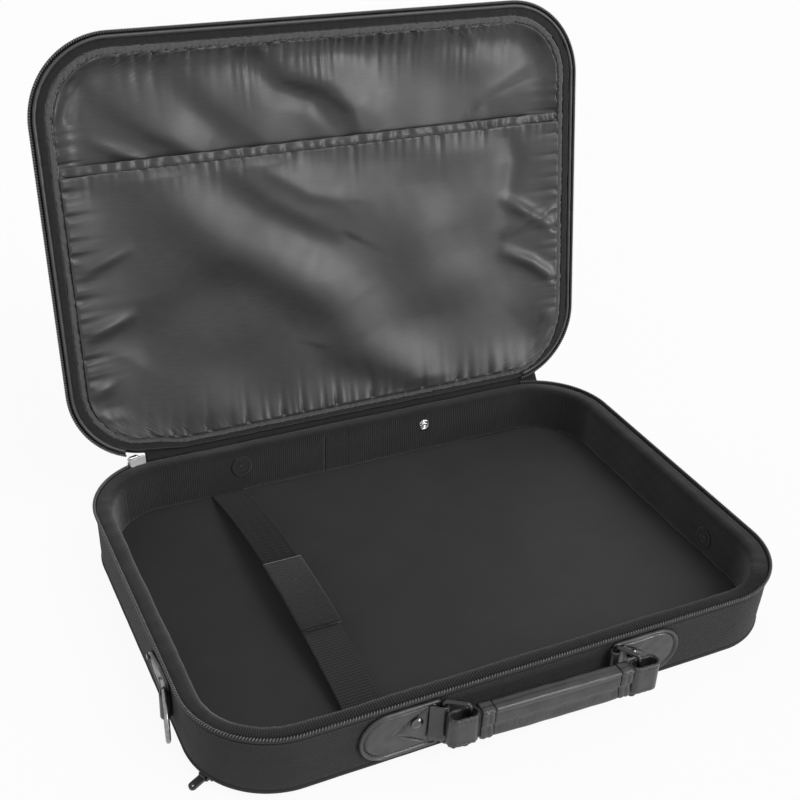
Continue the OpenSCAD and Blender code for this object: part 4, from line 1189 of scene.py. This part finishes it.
def fold(piece, line, height, middle_z):
    """A leather fold round an upright bar: line is its path in plan."""
    line = resampled(line, 0.7, closed=False)
    piece.ribbon(np.column_stack([line, np.full(len(line), middle_z)]), (0, 0, 1),
                 bar(height / 2, FOLD_T / 2, 0.5, 2.2))


for side, name in SIDES:
    patch, thread = leather_patch(handle_outline, (22.0, 0.0), triangle, front_wall(side), 101 + side)
    plan = np.vstack([[8.0, FRONT_Y - 1.0], [5.4, FRONT_Y - 2.2], [3.2, PIVOT_Y - 1.2],
                      arc((0, PIVOT_Y), FOLD_MID_R, -55, -265, 14), [2.0, FRONT_Y - 0.75]])
    plan[:, 0] = HANDLE_X + side * (PIVOT_HALF + plan[:, 0])
    fold(patch, plan, FOLD_H, RING_MID_Z)
    patch.make("patch_" + name, LEATHER, "tray", ["handle_patch_" + name], slot="leatherette")
    thread.make("patch_stitches_" + name, THREAD, "tray", slot="leatherette")

# Side patches: drops with their narrow end towards the hinge
SIDE_Y = -76.0
SIDE_Z = BASE_Z + 23
SIDE_TOP = PATCH_TOP - 1
SIDE_L = 44.0
SIDE_PIVOT_X = 213.66
SIDE_FOLD_R = 2.36
SIDE_FOLD_H = 19.0
NARROW_R = 5.5
NARROW_RISE = 6.0
SIDE_RISE = SIDE_TOP - SIDE_Z
narrow_y = SIDE_L - NARROW_R
drop = rounded([[0, -0.72 * SIDE_RISE], [narrow_y - 4, -NARROW_R + NARROW_RISE - 1.0], [SIDE_L, NARROW_RISE],
                [narrow_y - 4, NARROW_RISE + NARROW_R + 0.6], [0.3 * SIDE_L, SIDE_RISE], [0, SIDE_RISE]],
               [2.5, 16, 4.6, 16, 8, 2.5], 1.0)
chevron = [[(9.0, -6.5), (19.0, 4.0)], [(19.0, 4.0), (9.0, 13.0)]]
wall = CASE_W / 2
for side, name in SIDES:
    patch, thread = leather_patch(drop, (16.0, 4.0), chevron, side_wall(side), 111 + side)
    plan = np.vstack([[wall - 1.2, 8.0], [wall + 1.0, 5.4], [SIDE_PIVOT_X + 1.4, 2.6],
                      arc((SIDE_PIVOT_X, 0), SIDE_FOLD_R, 35, -160, 14), [wall - 0.8, -0.2]])
    plan = np.column_stack([side * plan[:, 0], SIDE_Y + plan[:, 1]])
    fold(patch, plan, SIDE_FOLD_H, SIDE_Z)
    patch.make("side_patch_" + name, LEATHER, "tray", ["side_patch_" + name], slot="leatherette")
    thread.make("side_stitches_" + name, THREAD, "tray", slot="leatherette")

# ---- Handle ----
RING_L = 16.0
HANDLE_L = 147.0
HANDLE_H = 21.0
LOOP_L = 21.0
LOOP_T = 10.5
LEATHER_T = 2.0
CORE_T = 4.6
COLLAR_L = 8.5
GRIP_T = 10.0
GRIP_WRAP = 1.6
GRIP_L = HANDLE_L - 2 * LOOP_L - 2 * COLLAR_L - 0.4


def outer_bar(side, angle):
    """Middle of the bar that a leaning ring holds the handle's loop with."""
    angle = math.radians(angle)
    return np.array([HANDLE_X + side * PIVOT_HALF + RING_L * math.sin(angle),
                     PIVOT_Y - RING_L * math.cos(angle), RING_MID_Z])


left_bar, right_bar = outer_bar(-1, 56), outer_bar(1, 33)
MID = (left_bar + right_bar) / 2
HANDLE_TURN = math.atan2(right_bar[1] - left_bar[1], right_bar[0] - left_bar[0])

strap = Piece()
edge = Piece()
thread = Piece()
for end in (-1, 1):
    out, back = HANDLE_L / 2 - LOOP_T / 2, HANDLE_L / 2 - LOOP_L + LOOP_T / 2
    r = (LOOP_T - LEATHER_T) / 2
    plan = resampled(np.vstack([arc((out, 0), r, -90, 90, 20), arc((back, 0), r, 90, 270, 20)]), 0.8)
    plan[:, 0] *= end
    line = np.column_stack([plan, 0 * plan[:, 0]])
    section = bar(HANDLE_H / 2, LEATHER_T / 2, 0.6, 1.6)
    sections = np.repeat(section[None], len(line), 0)
    rough = waves(line, 121, 1.8, 6)[:, None] * (np.abs(section[:, 0]) > HANDLE_H / 2 - 0.8)
    sections[..., 0] += 0.35 * rough * np.sign(section[:, 0])
    strap.ribbon(line, (0, 0, 1), sections, closed=True)
    for way in (-1, 1):
        up = np.array([0, 0, way * (HANDLE_H / 2 - 0.15)])
        rag = line + up + 0.25 * np.column_stack(
            [waves(line, 122, 2.2), waves(line, 123, 2.0), waves(line, 124, 1.6)])
        edge.tube(rag, 0.65 + 0.3 * waves(line, 125, 1.7), 6, closed=True)
        face = end * unit(np.cross(np.roll(line, -1, 0) - np.roll(line, 1, 0), (0, 0, 1)))
        seam = line + face * (LEATHER_T / 2 + 0.02) + [0, 0, way * (HANDLE_H / 2 - 2.4)]
        thread.stitches(seam, face, 3.0, 2.1, 0.3)
core_end = HANDLE_L / 2 - LOOP_L + LEATHER_T
line = np.linspace([-core_end, 0, 0], [core_end, 0, 0], 30)
strap.ribbon(line, (0, 0, 1), bar(HANDLE_H / 2 - 0.3, CORE_T / 2, 0.8, 2.5))
for piece, name, look, nodes in (
        (strap, "handle_strap_leather", LEATHER, ["handle_strap"]),
        (edge, "handle_raw_edges", LEATHER_EDGE, []), (thread, "handle_stitches", THREAD, [])):
    piece.moved(HANDLE_TURN, MID).make(name, look, "handle", nodes, slot="leatherette")


def sleeve(name, x0, x1, thickness, height, seed, node, pads, beads=()):
    """A leather sleeve round the strap: its upper flap ends in a raw edge, SLEEVE_SEAM below the top.
    beads are places along it where a stitched ridge runs down its front."""
    half_t, half_h = thickness / 2, height / 2
    outer = bar(half_h, half_t, [3.6, 2.8, 1.5, 3.2], 0.7)
    xs = np.linspace(x0, x1, max(14, int(abs(x1 - x0) / 0.6)))
    sections = np.repeat(outer[None], len(xs), 0)
    line = np.column_stack([xs, 0 * xs, 0 * xs])
    up = outer[None, :, 0]
    cut = 0.55 * waves(xs[:, None], seed, 3.2, 6) + 0.5 * waves(xs[:, None], seed + 1, 30, 4)
    cut = half_h - SLEEVE_SEAM + cut[:, None]
    flap = 1 / (1 + np.exp(-(up - cut) / 0.25))
    under = np.exp(-((up - cut + 3.2) / 2.6) ** 2) * (1 - flap)
    ridge = np.exp(-((up - (half_h - 1.7)) / 0.8) ** 2)
    groove = np.exp(-((up - (half_h - 3.9)) / 1.1) ** 2)
    front = outer[None, :, 1] > 0.2 * half_t
    normal = outward(outer)
    taper = rolled(np.minimum(xs - x0, x1 - xs)[:, None], pads)
    soft = 0.2 * waves(np.concatenate([line[:, None, :1].repeat(len(outer), 1), sections], -1), seed + 2, 26)
    down = sum(np.exp(-((xs - bead) / 0.8) ** 2) for bead in beads) if beads else 0 * xs
    barrel = 0.35 * (1 - (2 * (xs - x0) / (x1 - x0) - 1) ** 2)[:, None] if not beads else 0
    lift = front * (0.75 * flap - 0.55 + 0.45 * ridge - 0.35 * groove - 0.7 * under + 0.4 * down[:, None])
    sections = sections + (lift + soft + barrel - taper - 0.15)[..., None] * normal
    piece = Piece()
    piece.ribbon(line, (0, 0, 1), sections)
    piece.moved(HANDLE_TURN, MID)
    return piece.make(name, LEATHER, "handle", [node], slot="leatherette")


SLEEVE_H = HANDLE_H + 2 * GRIP_WRAP
SLEEVE_SEAM = 12.0
grip = sleeve("grip", -GRIP_L / 2, GRIP_L / 2, GRIP_T, SLEEVE_H, 131, "handle_grip", 0.8)
for side, name in SIDES:
    ends = sorted([side * (GRIP_L / 2 + 0.1), side * (GRIP_L / 2 + 0.1 + COLLAR_L)])
    sleeve("collar_" + name, ends[0], ends[1], GRIP_T + 0.6, SLEEVE_H + 0.2, 141 + side,
           "handle_collar_" + name, 0.5, beads=(ends[0] + 2.4, ends[1] - 2.4))

# ---- Hold-down strap ----
WEB_T = 1.4
STRAP_BOW = 15.0
STRAP_OVER = 2.0
ROOT_R = 1.2
ROOT_Y = CASE_D / 2 - tray_inset(FLOOR_TOP) - INNER_IN - ROOT_R - 0.1
ROOT_Z = FLOOR_TOP + ROOT_R + 0.1


def strap_line(y0, y1, bow, lift, step=1.0):
    """Points of the strap's arc from y0 to y1, lifted off it."""
    r = (ROOT_Y ** 2 + bow ** 2) / (2 * bow)
    a = np.linspace(math.asin(y0 / r), math.asin(y1 / r), max(4, int(abs(y1 - y0) / step)))
    return np.stack([0 * a + STRAP_X, (r + lift) * np.sin(a), ROOT_Z + bow - r + (r + lift) * np.cos(a)], -1)


def web(name, look, body, node, y0, y1, width, thickness, bow, lift, root, seed, slot, edge=0.12):
    """A length of webbing along the strap's arc, its selvedges thicker by edge.
    root is the end that is rolled and sewn in, or 0."""
    line = strap_line(y0, y1, bow, lift)
    section = bar(width / 2, thickness / 2, 0.6, 1.3)
    section[:, 1] *= 1 + edge * np.exp(-((width / 2 - np.abs(section[:, 0]) - 1.0) / 0.8) ** 2)
    sections = np.repeat(section[None], len(line), 0)
    if root:
        away = np.abs(line[:, 1] - root * ROOT_Y)
        swell = 1 + (2 * (ROOT_R - 0.05) / thickness - 1) * np.exp(-((away / 1.6) ** 2))
        sections[..., 1] *= swell[:, None]
    place = np.concatenate([line[:, None, 1:2].repeat(len(section), 1), sections[..., :1]], -1)
    sections[..., 1] += 0.1 * waves(place, seed, 30)
    piece = Piece()
    piece.ribbon(line, (1, 0, 0), sections)
    piece.make(name, look, body, [node], slot=slot)


REAR_BOW = STRAP_BOW + STRAP_OVER
PAD_T = 1.2
PAD_FRONT, PAD_BACK = -50.0, 22.0
web("web_front", FRONT_WEB, "tray", "strap_front", -ROOT_Y, 14, STRAP_W, WEB_T, STRAP_BOW, 0, -1, 151,
    "webbing")
web("web_rear", REAR_WEB, "rear_strap", "strap_rear", -46, ROOT_Y, STRAP_W, WEB_T, REAR_BOW, 0, 1, 153,
    "webbing")
web("web_pad", PAD, "rear_strap", "strap_pad", PAD_FRONT, PAD_BACK, STRAP_W + 2, PAD_T, REAR_BOW,
    (WEB_T + PAD_T) / 2 + 0.15, 0, 155, "fleece", 0.0)
thread = Piece()
for y in (PAD_FRONT + 2.5, PAD_BACK - 2.5):
    ends = strap_line(y - 0.1, y + 0.1, REAR_BOW, WEB_T / 2 + 1.38)
    line = np.linspace(ends[0] - [12.5, 0, 0], ends[0] + [12.5, 0, 0], 26)
    thread.stitches(line, np.tile([0, 0, 1.0], (26, 1)), 2.8, 2.0, 0.3)
thread.make("pad_stitches", THREAD, "rear_strap", slot="fleece")


# ---- Fittings ----
def turned(profile, place, sides=40):
    """A turned shape: profile is its radius and height, place turns (right, up, out) into the case's axes."""
    profile = np.array(profile, float)
    a = np.linspace(0, 2 * math.pi, sides, endpoint=False)
    rows = place(profile[None, :, 0] * np.cos(a)[:, None], profile[None, :, 0] * np.sin(a)[:, None],
                 np.repeat(profile[None, :, 1], sides, 0))
    piece = Piece()
    piece.skin(rows, closed=True)
    return piece


def on_rear(x, z):
    """Axes of a fitting on the rear wall's lining."""
    def place(a, b, h):
        y, up = in_wall(CASE_D / 2, z, b, h)
        return np.stack([x + a, y, up], -1)
    return place


def on_side(side):
    """Axes of a fitting on a side wall's lining."""
    def place(a, b, h):
        out, up = in_wall(CASE_W / 2, SIDE_Z, b, h)
        return np.stack([side * out, SIDE_Y + SIDE_DISC_BACK + a, up], -1)
    return place


STUD_X = 67.0
DISC_X = -89.0
SIDE_DISC_BACK = 12.0
STUD_Z = BASE_Z + 33
stud = turned([(0.02, 0), (4.3, 0), (4.6, 0.35), (4.5, 0.9), (4.1, 1.2), (3.6, 1.15), (3.3, 0.7), (3.1, 0.4),
               (2.5, 0.5), (2.3, 1.3), (2.0, 1.75), (1.5, 1.8), (1.2, 1.5), (1.1, 0.9), (0.02, 0.85)],
              on_rear(STUD_X, STUD_Z))
for a in np.radians(60 * np.arange(6)):
    line = np.linspace([2.4 * math.cos(a), 2.4 * math.sin(a), 0.75],
                       [3.4 * math.cos(a), 3.4 * math.sin(a), 1.0], 4)
    stud.tube(on_rear(STUD_X, STUD_Z)(line[:, 0], line[:, 1], line[:, 2]), 0.3, 6)
stud.make("wall_stud", NICKEL, "tray", ["rear_wall_stud"], slot="nickel")
DISC = [(0.02, 0), (8.0, 0), (8.0, 0.35), (7.6, 0.75), (6.9, 0.9), (6.3, 0.6), (5.6, 0.55), (4.0, 0.75),
        (2.0, 0.85), (0.02, 0.88)]
turned(DISC, on_rear(DISC_X, STUD_Z - 2)).make(
    "rear_disc", LINING, "tray", ["rear_wall_disc"], slot="wall_lining")
discs = Piece()
for side in (-1, 1):
    part = turned(DISC, on_side(side))
    discs.add(part.points[0], part.faces, part.coords)
discs.make("side_discs", LINING, "tray", ["side_wall_discs"], slot="wall_lining")

# Main slider: two shaped plates round the coils, a divider between them and two ears for the pull
SLIDER_TURN = math.radians(104)
ZIP_MID = (RIM_Z + LID_RIM_Z) / 2
SLIDER_IN = CHAIN_R + 0.2


def on_zip(out, along, up):
    """Places a point by its distance out from the zip line, along it and up, at the parked slider."""
    c, s_ = math.cos(SLIDER_TURN), math.sin(SLIDER_TURN)
    x = -HALF_L + (CORNER_R + out) * c - along * s_
    y = HALF_D + (CORNER_R + out) * s_ + along * c
    return np.stack([x, y, ZIP_MID + up + 0 * x], -1)


SLIDER_L = 13.0
SLIDER_FOOT = 4.05
SLIDER_BACK = SLIDER_IN + SLIDER_L ** 2 / (8 * (CORNER_R - CHAIN_R))
slider = Piece()
INNER_PLATE_H = 8.4
OUTER_PLATE_H = 5.9
PLATE_LAYERS = ((0.02, 0.82), (0.5, 0.84), (0.82, 0.86), (0.88, 1.0), (0.95, 0.98),
                (1.0, 0.72), (1.0, 0.1), (0.93, 0), (0.02, 0))
for out, way, height in ((-SLIDER_BACK, -1, INNER_PLATE_H), (SLIDER_IN, 1, OUTER_PLATE_H)):
    half = height / 2
    plan = rounded([[-6.4, -0.8 * half], [-5.0, -half], [2.2, -0.96 * half], [6.4, -0.5 * half],
                    [6.4, 0.5 * half], [2.2, 0.96 * half], [-5.0, half], [-6.4, 0.8 * half]],
                   [0.5, 1.4, 3.5, 2.2, 2.2, 3.5, 1.4, 0.5], 0.6)
    middle = half - SLIDER_FOOT
    plan[:, 1] += middle
    slider.skin(np.array([
        on_zip(out + way * depth + 0 * plan[:, 0], plan[:, 0] * share, middle + (plan[:, 1] - middle) * share)
        for share, depth in PLATE_LAYERS]))
wedge = rounded([[-6.2, -0.25], [-3.6, -0.25], [-3.6, 0.25], [-6.2, 0.25]], 0.2, 0.3)
slider.skin(np.array([on_zip(out + 0 * wedge[:, 0], wedge[:, 0], wedge[:, 1])
                      for out in np.linspace(-SLIDER_BACK, SLIDER_IN, 4)]))
PIN_OUT = SLIDER_IN + 1.0 + 2.4
ear = rounded([[0.6, -1.2], [3.9, -1.0], [3.9, 1.0], [0.6, 1.2]], [0.2, 0.9, 0.9, 0.2], 0.5)
for side in (-1, 1):
    slider.skin(np.array([
        on_zip(SLIDER_IN + ear[:, 0], side * along, ear[:, 1]) for along in (3.2, 3.4, 3.9, 4.15)]))
pin = np.linspace(-4.4, 4.4, 12)
slider.tube(on_zip(PIN_OUT + 0 * pin, pin, 0 * pin), 0.75 + 0.25 * (np.abs(pin) > 4.1), 12)
slider.make("slider", SLIDER_METAL, "zip_slider", ["zip_slider"], slot="nickel")

# ---- CAD pieces that keep their shape ----
for names, look in (
        (("handle_ring_left", "handle_ring_right"), ENAMEL),
        (("side_ring_left", "side_ring_right"), GREY_WIRE),
        (("handle_rivet_left", "handle_rivet_right", "side_rivets"), DARK_METAL),
        (("base_pocket_slider", "base_pocket_pull"), BLACK_ZIP),
        (("zip_pull",), NICKEL_CAD),
        (("tray_wall_board", "tray_base_board", "lid_board"), BOARD)):
    for name in names:
        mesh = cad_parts[name].data
        mesh.materials.clear()
        mesh.materials.append(look)

# ---- Floor, light and camera ----
bpy.ops.mesh.primitive_plane_add(size=30, location=(0, 0, 0))
ground = bpy.context.object
ground.name = "ground"


def seen_by(tree):
    """1 for what the camera sees, straight or in glossy or clear surfaces."""
    path = add_node(tree, "ShaderNodeLightPath")
    total = path.outputs["Is Camera Ray"]
    for name in ("Is Glossy Ray", "Is Transmission Ray"):
        total = add_node(tree, "ShaderNodeMath", total, path.outputs[name], operation="MAXIMUM").outputs[0]
    return total


PALE = (0.8, 0.8, 0.8, 1)
WHITE = (1, 1, 1, 1)
GLOW_SHARE = 0.93
WORLD_LIGHT = 0.5
paint = bpy.data.materials.new("pale_floor")
paint.use_nodes = True
tree = paint.node_tree
tree.nodes.clear()
matte = add_node(tree, "ShaderNodeBsdfDiffuse", PALE)
glow = add_node(tree, "ShaderNodeEmission", WHITE, 1.0)
share = add_node(tree, "ShaderNodeMath", seen_by(tree), GLOW_SHARE, operation="MULTIPLY")
mix = add_node(tree, "ShaderNodeMixShader", share.outputs[0], matte.outputs[0], glow.outputs[0])
add_node(tree, "ShaderNodeOutputMaterial", mix.outputs[0])
ground.data.materials.append(paint)

world = bpy.data.worlds.new("studio")
bpy.context.scene.world = world
world.use_nodes = True
tree = world.node_tree
strength = add_node(tree, "ShaderNodeMath", seen_by(tree), 1 - WORLD_LIGHT, WORLD_LIGHT,
                    operation="MULTIPLY_ADD")
tree.nodes["Background"].inputs["Color"].default_value = WHITE
tree.links.new(strength.outputs[0], tree.nodes["Background"].inputs["Strength"])


def sun(name, way, strength, soft):
    """A soft far lamp that shines from the direction way."""
    lamp = bpy.data.lights.new(name, "SUN")
    lamp.energy = strength
    lamp.angle = math.radians(soft)
    holder = bpy.data.objects.new(name, lamp)
    holder.rotation_euler = Vector(way).to_track_quat("Z", "Y").to_euler()
    bpy.context.scene.collection.objects.link(holder)


sun("key", (0.35, -0.75, 0.95), 1.35, 25)
sun("low", (0.60, -0.78, 0.12), 1.15, 14)
sun("fill", (-0.9, -0.5, 0.6), 0.25, 60)

CAMERA_AT = (-349.907, -633.590, 584.175)
YAW = 0.471579
PITCH = 0.536041
ROLL = 0.050780
FOCAL_PIXELS = 1267.951
FRAME_PIXELS = 800
SENSOR = 36.0
forward = Vector((math.sin(YAW) * math.cos(PITCH), math.cos(YAW) * math.cos(PITCH), -math.sin(PITCH)))
level = Vector((math.cos(YAW), -math.sin(YAW), 0))
upward = level.cross(forward)
right = math.cos(ROLL) * level + math.sin(ROLL) * upward
top = -math.sin(ROLL) * level + math.cos(ROLL) * upward
camera_data = bpy.data.cameras.new("camera")
camera_data.sensor_width = SENSOR
camera_data.lens = FOCAL_PIXELS / FRAME_PIXELS * SENSOR
camera = bpy.data.objects.new("camera", camera_data)
matrix = Matrix((right, top, -forward)).transposed().to_4x4()
matrix.translation = Vector(CAMERA_AT) * MM
camera.matrix_world = matrix
bpy.context.scene.collection.objects.link(camera)
bpy.context.scene.camera = camera
bpy.context.scene.view_settings.view_transform = "Standard"
